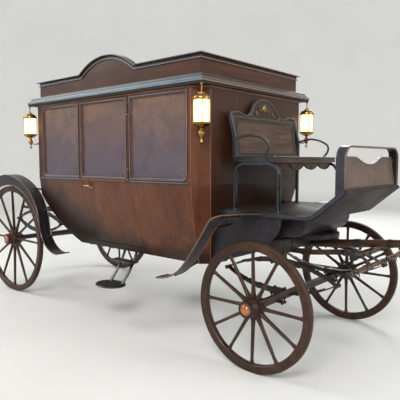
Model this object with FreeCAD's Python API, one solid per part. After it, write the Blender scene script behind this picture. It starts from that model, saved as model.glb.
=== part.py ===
"""Glazed coach on four spoked wheels, with a turning forecarriage, two doors and a pole.

Millimetres, +X forward, +Z up, ground at Z 0.  The functions place everything from the front
axle; save() moves each piece so that the origin is the plan centre of the whole vehicle.
"""
import FreeCAD, Part
import math
import os

V = FreeCAD.Vector
X_AXIS, Y_AXIS, Z_AXIS = V(1, 0, 0), V(0, 1, 0), V(0, 0, 1)

# Driving dimensions of the running gear
TRACK = 1550.0
WHEELBASE = 3330.0
FRONT_R = 464.0
REAR_R = 600.0
POLE_REACH = 2870.0
FRONT_AXLE_X = (WHEELBASE + REAR_R - POLE_REACH) / 2

# Wheels
TYRE_T = 12.0
TYRE_W = 46.0
FELLOE_W = 44.0
FELLOE_DEEP = 50.0
SPOKES = 12
SPOKE_R_NAVE = 17.0
SPOKE_R_RIM = 13.0
SPOKE_SIDES = 8
DISH = 14.0
NAVE_R = 66.0
NAVE_IN = 80.0
NAVE_OUT = 88.0
CAP_R = 32.0
NAVE_SIDES = 24
ARM_R = 24.0
RUN_CLEAR = 0.05
SEAT_GAP = 0.3
MOVE_CLEAR = 5.0

# Cabin
WALL_T = 28.0
BODY_HALF = 770.0
BODY_HALF_LOW = BODY_HALF - 210
BODY_HALF_MID = BODY_HALF - 64
FRONT_X = -478.0
FRONT_X_LOW = FRONT_X - 137
FRONT_X_MID = FRONT_X - 42
REAR_X = 480.0 - WHEELBASE
REAR_X_MID = REAR_X + 185
REAR_X_LOW = REAR_X + 540
CHAMFER = 110.0
WAIST_Z = 1300.0
MID_Z = 1070.0
REAR_MID_Z = 930.0
BOTTOM_Z = 640.0
WALL_TOP = 2060.0
GLASS_LOW = 1340.0
GLASS_TOP = 2015.0
GLASS_T = 5.0
BEAD_W = 14.0
BEAD_OUT = 6.0
DOOR_WIDE = 701.0
DOOR_MID = (REAR_X + FRONT_X + 5) / 2
DOOR_REAR = DOOR_MID - DOOR_WIDE / 2
DOOR_FRONT = DOOR_MID + DOOR_WIDE / 2
DOOR_LOW = 700.0
DOOR_TOP = 2036.0
DOOR_STILE = 34.0
CORNER_R = 42.0

# Roof
EAVE_HALF = BODY_HALF + 36
EAVE_OVER = 36.0
EAVE_TOP = 2140.0
DECK_T = 18.0
FASCIA_HALF = BODY_HALF - 62
FASCIA_T = 20.0
FASCIA_TOP = 2263.0
CROWN_T = 45.0
CROWN_BAND = 14.0
CROWN_OVER = 28.0
ROOF_SIDE_IN = 60.0
ARCH_MID = DOOR_MID - 8
ARCH_HALF = 376.5
ARCH_RISE = 132.0

# Driver's platform, seat and dash
FLOOR_Z = 1100.0
FLOOR_T = 30.0
PLAT_HALF = 500.0
BEND_X = 300.0
DASH_X = 534.0
DASH_Z = 1296.0
DASH_HALF = 478.0
DASH_TOP = 1516.0
DASH_LEAN = 26.0
RAIL_TOP = 1590.0
RAIL_DEEP = 62.0
RAIL_T = 10.0
SEAT_HALF = 495.0
SEAT_FRONT = -15.0
SEAT_REAR = -385.0
SEAT_Z = 1519.0
SEAT_T = 46.0
SEAT_LEAN = 8.0
BACK_HIGH = 330.0
BACK_T = 16.0
RABBET = 6.0
IRON_IN = 14.0
IRON_W = 26.0
IRON_T = 18.0
POST_DEEP = 36.0
ARM_IRON_W = 20.0
ARM_IRON_T = 16.0
BOOT_HALF = 490.0
BOOT_T = 12.0
BOOT_LOW = 852.0
BOOT_NOSE = 46.0

# Fenders
FENDER_T = 5.0
FENDER_IN = TRACK / 2 - 5
FENDER_OUT = TRACK / 2 + 120
REAR_FENDER_IN = TRACK / 2 - 85
REAR_FENDER_OUT = TRACK / 2 + 35

# Forecarriage
AXLE_SQ = 46.0
SPRING_Y = 440.0
SPRING_HALF = 470.0
SPRING_HIGH = 268.0
LEAF_T = 8.0
LEAF_W = 44.0
LEAVES = 4
TABLE_R = 250.0
TABLE_Z = 900.0
TABLE_T = 16.0
KING_R = 16.0
EVENER_X = 545.0
EVENER_HALF_Z = 16.0
POLE_SLOPE = 0.10
POLE_R = 32.0
POLE_TIP_R = 20.0
FERRULE_R = 24.0
FERRULE_LONG = 60.0
BAR = 36.0
TRANSOM_HIGH = 70.0
TRANSOM_HALF = 36.0
TREE_X = 632.0
TREE_Z = 765.0
TREE_Y = 335.0
TREE_HALF = 305.0
LOWER_TABLE_Z = TABLE_Z - SEAT_GAP - TABLE_T
TRANSOM_Z = LOWER_TABLE_Z - TRANSOM_HIGH
POLE_BUTT = V(TRANSOM_HALF + SEAT_GAP, 0, TRANSOM_Z + 12)
EVENER_Z = POLE_BUTT.z + POLE_SLOPE * (EVENER_X - POLE_BUTT.x) - POLE_R - SEAT_GAP - EVENER_HALF_Z

# Lamps and door hinges
LAMP_OFF = 105.0
LAMP_BASE_Z = 1766.0
LAMP_TOP_Z = LAMP_BASE_Z + 172
LAMP_R = 58.0
LAMP_SIDES = 16
HINGE_R = 7.0
HINGE_PIN_R = 4.0
HINGE_OUT = 9.0
HINGE_LEAF = 15.0
HINGE_HALF = 18.0
HINGE_ZS = (1370.0, 1930.0)


def box(x0, x1, y0, y1, z0, z1):
    return Part.makeBox(x1 - x0, y1 - y0, z1 - z0, V(x0, y0, z0))


def rod(start, end, radius):
    """Round bar between two points."""
    way = end - start
    return Part.makeCylinder(radius, way.Length, start, way)


def ring_points(centre, way, radius, sides):
    """Corners of a regular polygon square to a direction."""
    across = way.cross(X_AXIS if abs(way.x) < 0.7 else Z_AXIS).normalize()
    up = across.cross(way)
    points = []
    for i in range(sides):
        a = 2 * math.pi * (i + 0.5) / sides
        points.append(centre + across * (radius * math.cos(a)) + up * (radius * math.sin(a)))
    return points + points[:1]


def turned(start, way, profile, sides):
    """Many-sided turned form: the profile gives (distance along, radius) pairs."""
    rings = [Part.makePolygon(ring_points(start + way * far, way, size, sides)) for far, size in profile]
    return Part.makeLoft(rings, True, True)


def taper(start, end, radius, end_radius, sides=12):
    """Many-sided bar between two points that thins towards its end."""
    reach = (end - start).Length
    return turned(start, (end - start).normalize(), [(0, radius), (reach, end_radius)], sides)


def edges_from(items):
    """Edges of an outline: a pair of points is a line, three points are an arc."""
    out = []
    for item in items:
        if len(item) == 2:
            out.append(Part.LineSegment(item[0], item[1]).toShape())
        else:
            out.append(Part.Arc(item[0], item[1], item[2]).toShape())
    return out


def slab(items, way):
    """Closed outline of lines and arcs, pushed along a vector."""
    return Part.Face(Part.Wire(edges_from(items))).extrude(way)


def mirrored(shape):
    return shape.mirror(V(0, 0, 0), Y_AXIS)


def both(shape):
    return [shape, mirrored(shape)]


def fused(shapes):
    whole = shapes[0].multiFuse(shapes[1:]) if len(shapes) > 1 else shapes[0]
    return whole.removeSplitter()


def bent_path(points, radius):
    """Straight runs between points, joined by tangent arcs of one bend radius."""
    items, last = [], points[0]
    for before, corner, after in zip(points, points[1:], points[2:]):
        into, away = (corner - before).normalize(), (after - corner).normalize()
        half = into.getAngle(away) / 2
        cut = radius * math.tan(half)
        start, end = corner - into * cut, corner + away * cut
        inward = (away - into).normalize()
        centre = corner + inward * (radius / math.cos(half))
        items += [(last, start), (start, centre - inward * radius, end)]
        last = end
    return items + [(last, points[-1])]


def swept(items, profile):
    """Profile wire carried along a path of lines and arcs."""
    path = Part.Wire(edges_from(items))
    return path.makePipeShell([profile], True, True)


def bent_bar(items, width, thick, side):
    """Flat bar bent along a path that lies square to the side vector; width runs along side."""
    first = edges_from(items)[0]
    start = first.valueAt(first.FirstParameter)
    along = first.tangentAt(first.FirstParameter)
    across = along.cross(side)
    a, b = side * (width / 2), across * (thick / 2)
    ring = Part.makePolygon([start + a + b, start + a - b, start - a - b, start - a + b, start + a + b])
    return swept(items, ring)


# Wheels

def tyre(radius):
    ring = Part.makeCylinder(radius, TYRE_W, V(0, -TYRE_W / 2, 0), Y_AXIS)
    hole = Part.makeCylinder(radius - TYRE_T, TYRE_W, V(0, -TYRE_W / 2, 0), Y_AXIS)
    return ring.cut(hole)


def nave():
    """Turned hub with its nose ring and stepped cap, bored from the inner side for the axle arm."""
    nose = NAVE_R * 0.86
    profile = [
        (0, CAP_R * 0.55), (8, CAP_R * 0.92), (16, CAP_R), (17, nose), (42, nose), (48, nose - 6),
        (78, NAVE_R), (16 + NAVE_OUT + DISH, NAVE_R + 10), (142, NAVE_R), (162, NAVE_R - 12),
        (163, NAVE_R - 6), (16 + NAVE_OUT + NAVE_IN, NAVE_R - 6),
    ]
    body = turned(V(0, -NAVE_OUT - 16, 0), Y_AXIS, profile, NAVE_SIDES)
    depth = NAVE_IN + NAVE_OUT - 20
    bore = Part.makeCylinder(ARM_R + RUN_CLEAR, depth, V(0, NAVE_IN - depth, 0), Y_AXIS)
    return body.cut(bore)


def wheel_wood(radius):
    """Felloe ring, nave and slightly dished spokes in one piece; the outside faces -Y."""
    outer = radius - TYRE_T - SEAT_GAP
    inner = outer - FELLOE_DEEP
    ring = Part.makeCylinder(outer, FELLOE_W, V(0, -FELLOE_W / 2, 0), Y_AXIS)
    hole = Part.makeCylinder(inner, FELLOE_W, V(0, -FELLOE_W / 2, 0), Y_AXIS)
    felloe = ring.cut(hole)
    inner_rims = [e for e in felloe.Edges if abs(e.BoundBox.XMax - inner) < 1 and len(e.Vertexes) == 1]
    felloe = felloe.makeChamfer(8, inner_rims)
    parts = [felloe, nave()]
    for i in range(SPOKES):
        a = 2 * math.pi * i / SPOKES
        out = V(math.sin(a), 0, math.cos(a))
        start = out * (NAVE_R * 0.7) + V(0, DISH, 0)
        end = out * (inner + 8)
        parts.append(taper(start, end, SPOKE_R_NAVE, SPOKE_R_RIM, SPOKE_SIDES))
    return fused(parts)


def axle(radius, thick):
    """Square bed with a round arm in each nave."""
    shoulder = TRACK / 2 - NAVE_IN - MOVE_CLEAR
    bed = box(-thick / 2, thick / 2, -shoulder, shoulder, -thick / 2, thick / 2)
    tip = TRACK / 2 + NAVE_OUT - 34
    arm = Part.makeCylinder(ARM_R, tip - shoulder + 40, V(0, -tip, 0), Y_AXIS)
    return fused([bed] + both(arm)).translated(V(0, 0, radius))


# Springs

def leaf_pack(half, rise, up):
    """Bowed pack of leaves, each one shorter than the last, seen from the side."""
    r = (half * half + rise * rise) / (2 * rise)
    parts = []
    for i in range(LEAVES):
        reach = half * (1 - 0.2 * i)
        outer, inner = r - LEAF_T * i, r - LEAF_T * (i + 1)
        half_angle = math.asin(min(0.999, reach / r))

        def at(radius, angle):
            return V(radius * math.sin(angle), 0, radius * math.cos(angle) - (r - rise))
        top = (at(outer, -half_angle), at(outer, 0), at(outer, half_angle))
        low = (at(inner, half_angle), at(inner, 0), at(inner, -half_angle))
        items = [top, (top[2], low[0]), low, (low[2], top[0])]
        parts.append(slab(items, V(0, LEAF_W, 0)).translated(V(0, -LEAF_W / 2, 0)))
    pack = fused(parts)
    return pack if up else pack.mirror(V(0, 0, 0), Z_AXIS)


def elliptic_spring(x, y, low):
    """Two packs joined at their eyes; low is the height of the underside."""
    middle = low + SPRING_HIGH / 2
    eye = 13.0
    rise = SPRING_HIGH / 2
    parts = [leaf_pack(SPRING_HALF, rise, True), leaf_pack(SPRING_HALF, rise, False)]
    for side in (-1, 1):
        bolt = V(side * SPRING_HALF, -LEAF_W / 2 - 4, 0)
        parts.append(Part.makeCylinder(eye, LEAF_W + 8, bolt, Y_AXIS))
    return fused(parts).translated(V(x, y, middle))


# Cabin shell

def across(half, low, mid, z_top):
    """Cross-section of the body: upright above the waist and turned under below it."""
    items = [
        (V(0, -half, z_top), V(0, -half, WAIST_Z)),
        (V(0, -half, WAIST_Z), V(0, -mid, MID_Z), V(0, -low, BOTTOM_Z)),
        (V(0, -low, BOTTOM_Z), V(0, -low, BOTTOM_Z - 60)),
        (V(0, -low, BOTTOM_Z - 60), V(0, low, BOTTOM_Z - 60)),
        (V(0, low, BOTTOM_Z - 60), V(0, low, BOTTOM_Z)),
        (V(0, low, BOTTOM_Z), V(0, mid, MID_Z), V(0, half, WAIST_Z)),
        (V(0, half, WAIST_Z), V(0, half, z_top)),
        (V(0, half, z_top), V(0, -half, z_top)),
    ]
    return slab(items, V(FRONT_X - REAR_X + 1000, 0, 0)).translated(V(REAR_X - 350, 0, 0))


def along(inset, z_top):
    """Side profile: raked front and a boat-shaped rear that sweeps under the body."""
    low = BOTTOM_Z + inset
    front_low, rear_low = FRONT_X_LOW - inset * 0.96, REAR_X_LOW + inset * 0.4
    items = [
        (V(FRONT_X - inset, 0, z_top), V(FRONT_X - inset, 0, WAIST_Z)),
        (V(FRONT_X - inset, 0, WAIST_Z), V(FRONT_X_MID - inset, 0, MID_Z), V(front_low, 0, low)),
        (V(front_low, 0, low), V(rear_low, 0, low)),
        (V(rear_low, 0, low), V(REAR_X_MID + inset * 0.8, 0, REAR_MID_Z + inset * 0.6), V(REAR_X + inset, 0, WAIST_Z)),
        (V(REAR_X + inset, 0, WAIST_Z), V(REAR_X + inset, 0, z_top)),
        (V(REAR_X + inset, 0, z_top), V(FRONT_X - inset, 0, z_top)),
    ]
    return slab(items, V(0, 2000, 0)).translated(V(0, -1000, 0))


def corner_plane(inset):
    """Region inside the four 45 degree corners; the front ones lean back below the waist."""
    depth = 4000.0
    reach = FRONT_X + BODY_HALF - CHAMFER - inset * math.sqrt(2)
    low_reach = FRONT_X_LOW + BODY_HALF_LOW - CHAMFER * 0.6 - inset * math.sqrt(2)
    mid_reach = FRONT_X_MID + BODY_HALF_MID - CHAMFER * 0.9 - inset * math.sqrt(2)
    r2 = math.sqrt(2)
    items = [
        (V(reach / r2, 0, 2400), V(reach / r2, 0, WAIST_Z)),
        (V(reach / r2, 0, WAIST_Z), V(mid_reach / r2, 0, MID_Z), V(low_reach / r2, 0, BOTTOM_Z)),
        (V(low_reach / r2, 0, BOTTOM_Z), V(low_reach / r2, 0, 400)),
        (V(low_reach / r2, 0, 400), V(-3600, 0, 400)),
        (V(-3600, 0, 400), V(-3600, 0, 2400)),
        (V(-3600, 0, 2400), V(reach / r2, 0, 2400)),
    ]
    lean = slab(items, V(0, 2 * depth, 0)).translated(V(0, -depth, 0))
    left = lean.rotated(V(0, 0, 0), Z_AXIS, 45)
    right = lean.rotated(V(0, 0, 0), Z_AXIS, -45)
    back = -REAR_X + BODY_HALF - CHAMFER - inset * r2
    rear = box(-back / r2, 3000, -3000, 3000, 400, 2400)
    rear_a = rear.rotated(V(0, 0, 0), Z_AXIS, 45)
    rear_b = rear.rotated(V(0, 0, 0), Z_AXIS, -45)
    return left.common(right).common(rear_a).common(rear_b)


def body_form(inset):
    half = across(BODY_HALF - inset, BODY_HALF_LOW - inset * 0.95, BODY_HALF_MID - inset, WALL_TOP)
    return half.common(along(inset, WALL_TOP)).common(corner_plane(inset))


def window_cut(x0, x1, round_rear, round_front, grow=0.0, through=80.0):
    """Window opening for the right side, its lower outer corner rounded where asked."""
    a, b = x0 - grow, x1 + grow
    z0, z1 = GLASS_LOW - grow, GLASS_TOP + grow
    block = box(a, b, -BODY_HALF - through / 2, -BODY_HALF + through, z0, z1)
    r = CORNER_R + grow
    picked = []
    for edge in block.Edges:
        c = edge.BoundBox.Center
        if edge.BoundBox.YLength > 1 and abs(c.z - z0) < 1:
            if (round_rear and abs(c.x - a) < 1) or (round_front and abs(c.x - b) < 1):
                picked.append(edge)
    return block.makeFillet(r, picked) if picked else block


def side_windows():
    """Rear quarter, door and front quarter openings as (x0, x1, rounded rear, rounded front)."""
    rear = (REAR_X + CHAMFER + 100, DOOR_REAR - MOVE_CLEAR - DOOR_STILE + 8, True, False)
    door = (DOOR_REAR + DOOR_STILE, DOOR_FRONT - DOOR_STILE, False, False)
    front = (DOOR_FRONT + DOOR_STILE, FRONT_X - CHAMFER - 44, False, True)
    return rear, door, front


def door_block(grow):
    return box(DOOR_REAR - grow, DOOR_FRONT + grow, -BODY_HALF - 100, -400, DOOR_LOW - grow, DOOR_TOP + grow)


def side_shell():
    """Right side of the shell, as thick as the door, before the door is taken out."""
    ring = body_form(0).cut(body_form(WALL_T))
    inner_half = across(BODY_HALF - WALL_T, BODY_HALF_LOW - WALL_T * 0.95, BODY_HALF_MID - WALL_T, WALL_TOP)
    side = ring.cut(inner_half).common(box(-4000, 1000, -1000, 0, 0, 3000))
    corner_in = CHAMFER + 2
    return side.common(box(REAR_X + corner_in, FRONT_X - corner_in, -1000, 0, 0, 3000))


def hinge_axis_x():
    return DOOR_FRONT + MOVE_CLEAR / 2


def hinge_leaf(side, z0, z1):
    """Flat leaf on the wall face, ahead of the hinge line (side 1) or on the door (side -1)."""
    x = hinge_axis_x()
    x0, x1 = sorted((x, x + side * HINGE_LEAF))
    return box(x0, x1, -BODY_HALF - 3, -BODY_HALF, z0, z1)


def door_knuckles():
    """Middle knuckle of each hinge, bored for the pin, with its leaf on the door."""
    parts = []
    for z in HINGE_ZS:
        centre = V(hinge_axis_x(), -BODY_HALF - HINGE_OUT, z - HINGE_HALF)
        barrel = Part.makeCylinder(HINGE_R, 2 * HINGE_HALF, centre)
        bore = Part.makeCylinder(HINGE_PIN_R + RUN_CLEAR, 2 * HINGE_HALF, centre)
        leaf = hinge_leaf(-1, z - HINGE_HALF, z + HINGE_HALF)
        parts.append(barrel.fuse(leaf).cut(bore))
    return parts


def wall_knuckles():
    """End knuckles and pin of each hinge, with a leaf on the wall."""
    parts = []
    for z in HINGE_ZS:
        x, y = hinge_axis_x(), -BODY_HALF - HINGE_OUT
        reach = HINGE_HALF + 22
        pin = Part.makeCylinder(HINGE_PIN_R, 2 * reach, V(x, y, z - reach))
        pieces = [pin]
        for low in (z - reach, z + HINGE_HALF + SEAT_GAP):
            pieces.append(Part.makeCylinder(HINGE_R, 22 - SEAT_GAP, V(x, y, low)))
            pieces.append(hinge_leaf(1, low, low + 22 - SEAT_GAP))
        plate = hinge_leaf(1, z - reach, z + reach)
        plate = plate.cut(box(x - 1, x + HINGE_R + 3, -1000, 0, z - HINGE_HALF - SEAT_GAP, z + HINGE_HALF + SEAT_GAP))
        parts.append(fused(pieces + [plate]))
    return parts


def cabin_side():
    side = side_shell()
    rear, door, front = side_windows()
    side = side.cut(window_cut(*rear)).cut(window_cut(*front))
    return side.cut(door_block(MOVE_CLEAR))


def door_panel():
    leaf = side_shell().common(door_block(0))
    return leaf.cut(window_cut(*side_windows()[1]))


def window_pane(window):
    """Glass set at mid thickness, a seating gap short of the opening all round."""
    hole = window_cut(*window, grow=-SEAT_GAP)
    y = -BODY_HALF + WALL_T / 2
    return hole.common(box(-4000, 0, y - GLASS_T / 2, y + GLASS_T / 2, 0, 3000))


def window_bead(window):
    """Raised frame round an opening, on the outer face."""
    outer = window_cut(*window, grow=BEAD_W)
    inner = window_cut(*window)
    frame = outer.cut(inner)
    return frame.common(box(-4000, 0, -BODY_HALF - BEAD_OUT, -BODY_HALF, 0, 3000))


def waist_moulding():
    """Half-round strip along the waist, in the lengths left by the door."""
    z = WAIST_Z + 8
    bar = Part.makeCylinder(9, FRONT_X - REAR_X + 500, V(REAR_X - 250, -BODY_HALF, z), X_AXIS)
    bar = bar.common(box(-4000, 0, -1000, -BODY_HALF, 0, 3000))
    x_rear, x_front = REAR_X + CHAMFER + 4, FRONT_X - CHAMFER - 4
    rear = bar.common(box(x_rear, DOOR_REAR - MOVE_CLEAR, -1000, 0, 0, 3000))
    front = bar.common(box(DOOR_FRONT + MOVE_CLEAR + 24, x_front, -1000, 0, 0, 3000))
    middle = bar.common(box(DOOR_REAR + 1, DOOR_FRONT - 22, -1000, 0, 0, 3000))
    return rear, middle, front


def ends_of_shell():
    """Front, rear, floor and corner pieces of the shell between the two sides."""
    ring = body_form(0).cut(body_form(WALL_T))
    side_gap = WALL_T + SEAT_GAP
    inner_half = across(BODY_HALF - side_gap, BODY_HALF_LOW - side_gap * 0.95, BODY_HALF_MID - side_gap, WALL_TOP)
    corner = CHAMFER + 2 - SEAT_GAP
    front_box = box(FRONT_X - corner, 0, -1000, 1000, 0, 3000)
    rear_box = box(-4000, REAR_X + corner, -1000, 1000, 0, 3000)
    middle = ring.common(inner_half)
    front_all = ring.common(front_box)
    rear_all = ring.common(rear_box)
    return ring, middle, front_all, rear_all, inner_half


def cabin_front():
    ring, middle, front_all, rear_all, inner_half = ends_of_shell()
    cut_x = FRONT_X - CHAMFER - 2
    strip = middle.common(box(cut_x - 60, 0, -1000, 1000, BOTTOM_Z + WALL_T + SEAT_GAP, 3000))
    plate = ring.common(box(cut_x + SEAT_GAP, 0, -1000, 1000, BOTTOM_Z + WALL_T + SEAT_GAP, 3000))
    return strip.fuse(plate).removeSplitter()


def rear_window_block(grow):
    z0, z1 = GLASS_LOW + 40 - grow, GLASS_TOP - 60 + grow
    block = box(REAR_X - 60, REAR_X + 60, -330 - grow, 330 + grow, z0, z1)
    edges = [e for e in block.Edges if e.BoundBox.XLength > 1]
    return block.makeFillet(CORNER_R + grow, edges)


def cabin_rear():
    ring, middle, front_all, rear_all, inner_half = ends_of_shell()
    cut_x = REAR_X + CHAMFER + 2
    plate = ring.common(box(-4000, cut_x - SEAT_GAP, -1000, 1000, 0, 3000))
    sweep = middle.common(box(-4000, REAR_X_LOW + 20, -1000, 1000, 0, 3000))
    return plate.fuse(sweep).removeSplitter().cut(rear_window_block(0))


def rear_pane():
    x = REAR_X + WALL_T / 2
    return rear_window_block(-SEAT_GAP).common(box(x - GLASS_T / 2, x + GLASS_T / 2, -1000, 1000, 0, 3000))


def rear_bead():
    frame = rear_window_block(BEAD_W).cut(rear_window_block(0))
    return frame.common(box(REAR_X - BEAD_OUT, REAR_X, -1000, 1000, 0, 3000))


def cabin_floor():
    ring, middle, front_all, rear_all, inner_half = ends_of_shell()
    x0, x1 = REAR_X_LOW + 20 + SEAT_GAP, FRONT_X - CHAMFER - 2
    low = middle.common(box(x0, FRONT_X, -1000, 1000, 0, BOTTOM_Z + WALL_T))
    return low


# Roof

def frame_tier(half0, over0, half1, over1, z0, z1):
    """One moulded tier round the roof, sloping from one rectangle to a smaller one."""
    def loop(half, over, z):
        x0, x1 = REAR_X - over, FRONT_X + over
        pts = [V(x0, -half, z), V(x1, -half, z), V(x1, half, z), V(x0, half, z)]
        return Part.makePolygon(pts + [pts[0]])
    return Part.makeLoft([loop(half0, over0, z0), loop(half1, over1, z1)], True, True)


def eave_cornice():
    """Sloping eave with three stepped tiers."""
    z0 = WALL_TOP + DECK_T
    step = (EAVE_TOP - z0) / 3
    tiers = []
    for i in range(3):
        drop = 14.0 * i
        half, over = EAVE_HALF - drop, EAVE_OVER - drop
        top_drop = drop + (4.0 if i == 0 else 11.0)
        z = z0 + step * i
        tiers.append(frame_tier(half, over, EAVE_HALF - top_drop, EAVE_OVER - top_drop, z, z + step))
    ring = fused(tiers)
    hollow = box(REAR_X + 90, FRONT_X - 90, -FASCIA_HALF + 40, FASCIA_HALF - 40, z0, EAVE_TOP)
    return ring.cut(hollow)


def roof_x():
    return REAR_X + ROOF_SIDE_IN, FRONT_X - ROOF_SIDE_IN


def fascia_outline(x0, x1, z0, lift):
    """Side fascia with the raised arch over the door."""
    centre = ARCH_MID
    radius = (ARCH_HALF * ARCH_HALF + ARCH_RISE * ARCH_RISE) / (2 * ARCH_RISE) + lift
    top = FASCIA_TOP + lift
    centre_z = FASCIA_TOP + ARCH_RISE - (radius - lift)
    reach = math.sqrt(radius * radius - (top - centre_z) ** 2)
    a, b = V(centre - reach, 0, top), V(centre + reach, 0, top)
    crown = V(centre, 0, centre_z + radius)
    return [
        (V(x0, 0, z0), V(x1, 0, z0)), (V(x1, 0, z0), V(x1, 0, top)), (V(x1, 0, top), b),
        (b, crown, a), (a, V(x0, 0, top)), (V(x0, 0, top), V(x0, 0, z0)),
    ]


def fascia_boards():
    """Four boards: the sides run through, and the ends fit between them."""
    x0, x1 = roof_x()
    side = slab(fascia_outline(x0, x1, EAVE_TOP, 0), V(0, FASCIA_T, 0)).translated(V(0, -FASCIA_HALF, 0))
    inner = FASCIA_HALF - FASCIA_T - SEAT_GAP
    front = box(x1 - FASCIA_T, x1, -inner, inner, EAVE_TOP, FASCIA_TOP)
    rear = box(x0, x0 + FASCIA_T, -inner, inner, EAVE_TOP, FASCIA_TOP)
    return both(side) + [front, rear]


def crown_band(low, high, over):
    """One band of the capping, between two heights above the fascia's top line."""
    x0, x1 = roof_x()
    a, b, deep = x0 - over, x1 + over, over + FASCIA_T + 8
    whole = slab(fascia_outline(a, b, FASCIA_TOP - 200, high), V(0, deep, 0))
    below = slab(fascia_outline(a - 1, b + 1, FASCIA_TOP - 201, low), V(0, deep, 0))
    side = whole.cut(below).translated(V(0, -FASCIA_HALF - over, 0))
    inner = FASCIA_HALF + over - deep
    front = box(b - deep, b, -inner, inner, FASCIA_TOP + low, FASCIA_TOP + high)
    rear = box(a, a + deep, -inner, inner, FASCIA_TOP + low, FASCIA_TOP + high)
    return fused(both(side) + [front, rear])


def crown_moulding():
    """Capping in two bands with a recess between them, following the arches."""
    top = CROWN_T - CROWN_BAND
    bands = [crown_band(SEAT_GAP, CROWN_BAND, CROWN_OVER * 0.36), crown_band(CROWN_BAND, top, 2.0),
             crown_band(top, CROWN_T, CROWN_OVER)]
    return fused(bands)


def roof_deck():
    """Ceiling board that forms the soffit, and the top deck inside the parapet."""
    soffit = box(REAR_X - EAVE_OVER + 6, FRONT_X + EAVE_OVER - 6, -EAVE_HALF + 6, EAVE_HALF - 6,
                 WALL_TOP, WALL_TOP + DECK_T)
    x0, x1 = roof_x()
    t = FASCIA_T + SEAT_GAP
    half = FASCIA_HALF - t
    deck = box(x0 + t, x1 - t, -half, half, EAVE_TOP + 70, EAVE_TOP + 70 + DECK_T)
    return [soffit, deck]


# Interior

def benches():
    """Two facing benches seen through the glass, each a boxed base and a cushion."""
    wood, soft = [], []
    base = BOTTOM_Z + WALL_T
    inside = body_form(WALL_T + SEAT_GAP)
    half = BODY_HALF - 270
    for x0, x1 in ((REAR_X + 60, REAR_X + 780), (FRONT_X - 620, FRONT_X - 60)):
        wood.append(box(x0, x1, -half, half, base, base + 320).common(inside))
        cushion = box(x0, x1, -half, half, base + 320 + SEAT_GAP, base + 430)
        soft.append(cushion.common(body_form(WALL_T + 2 * SEAT_GAP)))
    return wood, soft


# Driver's platform

def platform(thick=FLOOR_T, gap=0.0):
    """Floor boards and the sloping toe board in one bent run, fitted to the cabin front."""
    rise = V(DASH_X - BEND_X, 0, DASH_Z - FLOOR_Z)
    normal = V(rise.z, 0, -rise.x).normalize()
    under = normal * thick
    turn = math.tan(math.atan2(rise.z, rise.x) / 2)
    bend, top = V(BEND_X, 0, FLOOR_Z + gap), V(DASH_X, 0, DASH_Z) - normal * gap
    back = FRONT_X_LOW
    low_bend = V(BEND_X + thick * turn, 0, FLOOR_Z - thick)
    points = [V(back, 0, FLOOR_Z + gap), bend, top, top + under, low_bend, V(back, 0, FLOOR_Z - thick)]
    items = list(zip(points, points[1:] + points[:1]))
    run = slab(items, V(0, 2 * PLAT_HALF, 0)).translated(V(0, -PLAT_HALF, 0))
    return run.cut(body_form(-SEAT_GAP))


def platform_edge():
    """Iron edging that follows the floor and rises with the toe board."""
    y = -PLAT_HALF - 9 - SEAT_GAP
    z = FLOOR_Z - 14
    points = [V(FRONT_X_LOW, y, z), V(BEND_X, y, z), V(DASH_X, y, DASH_Z - 14)]
    return bent_bar(bent_path(points, 150), 18, 28, Y_AXIS).cut(body_form(-SEAT_GAP))


def bolster():
    """Timber that carries the turntable, with the boot's side boards hung from its top board."""
    z0, z1 = TABLE_Z + TABLE_T, FLOOR_Z - FLOOR_T - SEAT_GAP
    front, back = TABLE_R - 70, FRONT_X_LOW - 40
    items = [
        (V(back, 0, z1), V(front, 0, z1)),
        (V(front, 0, z1), V(front - 14, 0, z0 + 54), V(front - 90, 0, z0)),
        (V(front - 90, 0, z0), V(back, 0, z0)),
        (V(back, 0, z0), V(back, 0, z1)),
    ]
    block = slab(items, V(0, 760, 0)).translated(V(0, -380, 0))
    nose = BOOT_NOSE
    board = box(back, nose, -BOOT_HALF, BOOT_HALF, z1 - 24, z1)
    a, b = V(nose, 0, z1), V(nose - 54, 0, z1 - 150)
    c, d, e = V(nose - 101, 0, BOOT_LOW), V(nose - 525, 0, BOOT_LOW - 64), V(back, 0, BOTTOM_Z + 8)
    edge = [
        (a, V(nose - 14, 0, z1 - 84), b), (b, V(nose - 84, 0, z1 - 178), c),
        (c, V(nose - 330, 0, BOOT_LOW - 14), d), (d, V(nose - 596, 0, BOOT_LOW - 134), e),
        (e, V(back, 0, z1)), (V(back, 0, z1), a),
    ]
    side = slab(edge, V(0, BOOT_T, 0)).translated(V(0, -BOOT_HALF, 0))
    return fused([block, board] + both(side)).cut(body_form(-SEAT_GAP))


def upper_table():
    """Upper turntable plate with the king pin, which stops against the bolster."""
    plate = Part.makeCylinder(TABLE_R, TABLE_T, V(0, 0, TABLE_Z))
    hole = Part.makeCylinder(TABLE_R - 46, TABLE_T, V(0, 0, TABLE_Z))
    bar = box(-TABLE_R + 20, TABLE_R - 20, -30, 30, TABLE_Z, TABLE_Z + TABLE_T)
    nut_z = TRANSOM_Z - MOVE_CLEAR - 16
    pin = Part.makeCylinder(KING_R, TABLE_Z + TABLE_T - nut_z, V(0, 0, nut_z))
    nut = Part.makeCylinder(KING_R + 12, 16, V(0, 0, nut_z))
    return fused([plate.cut(hole), bar, pin, nut])


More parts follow.
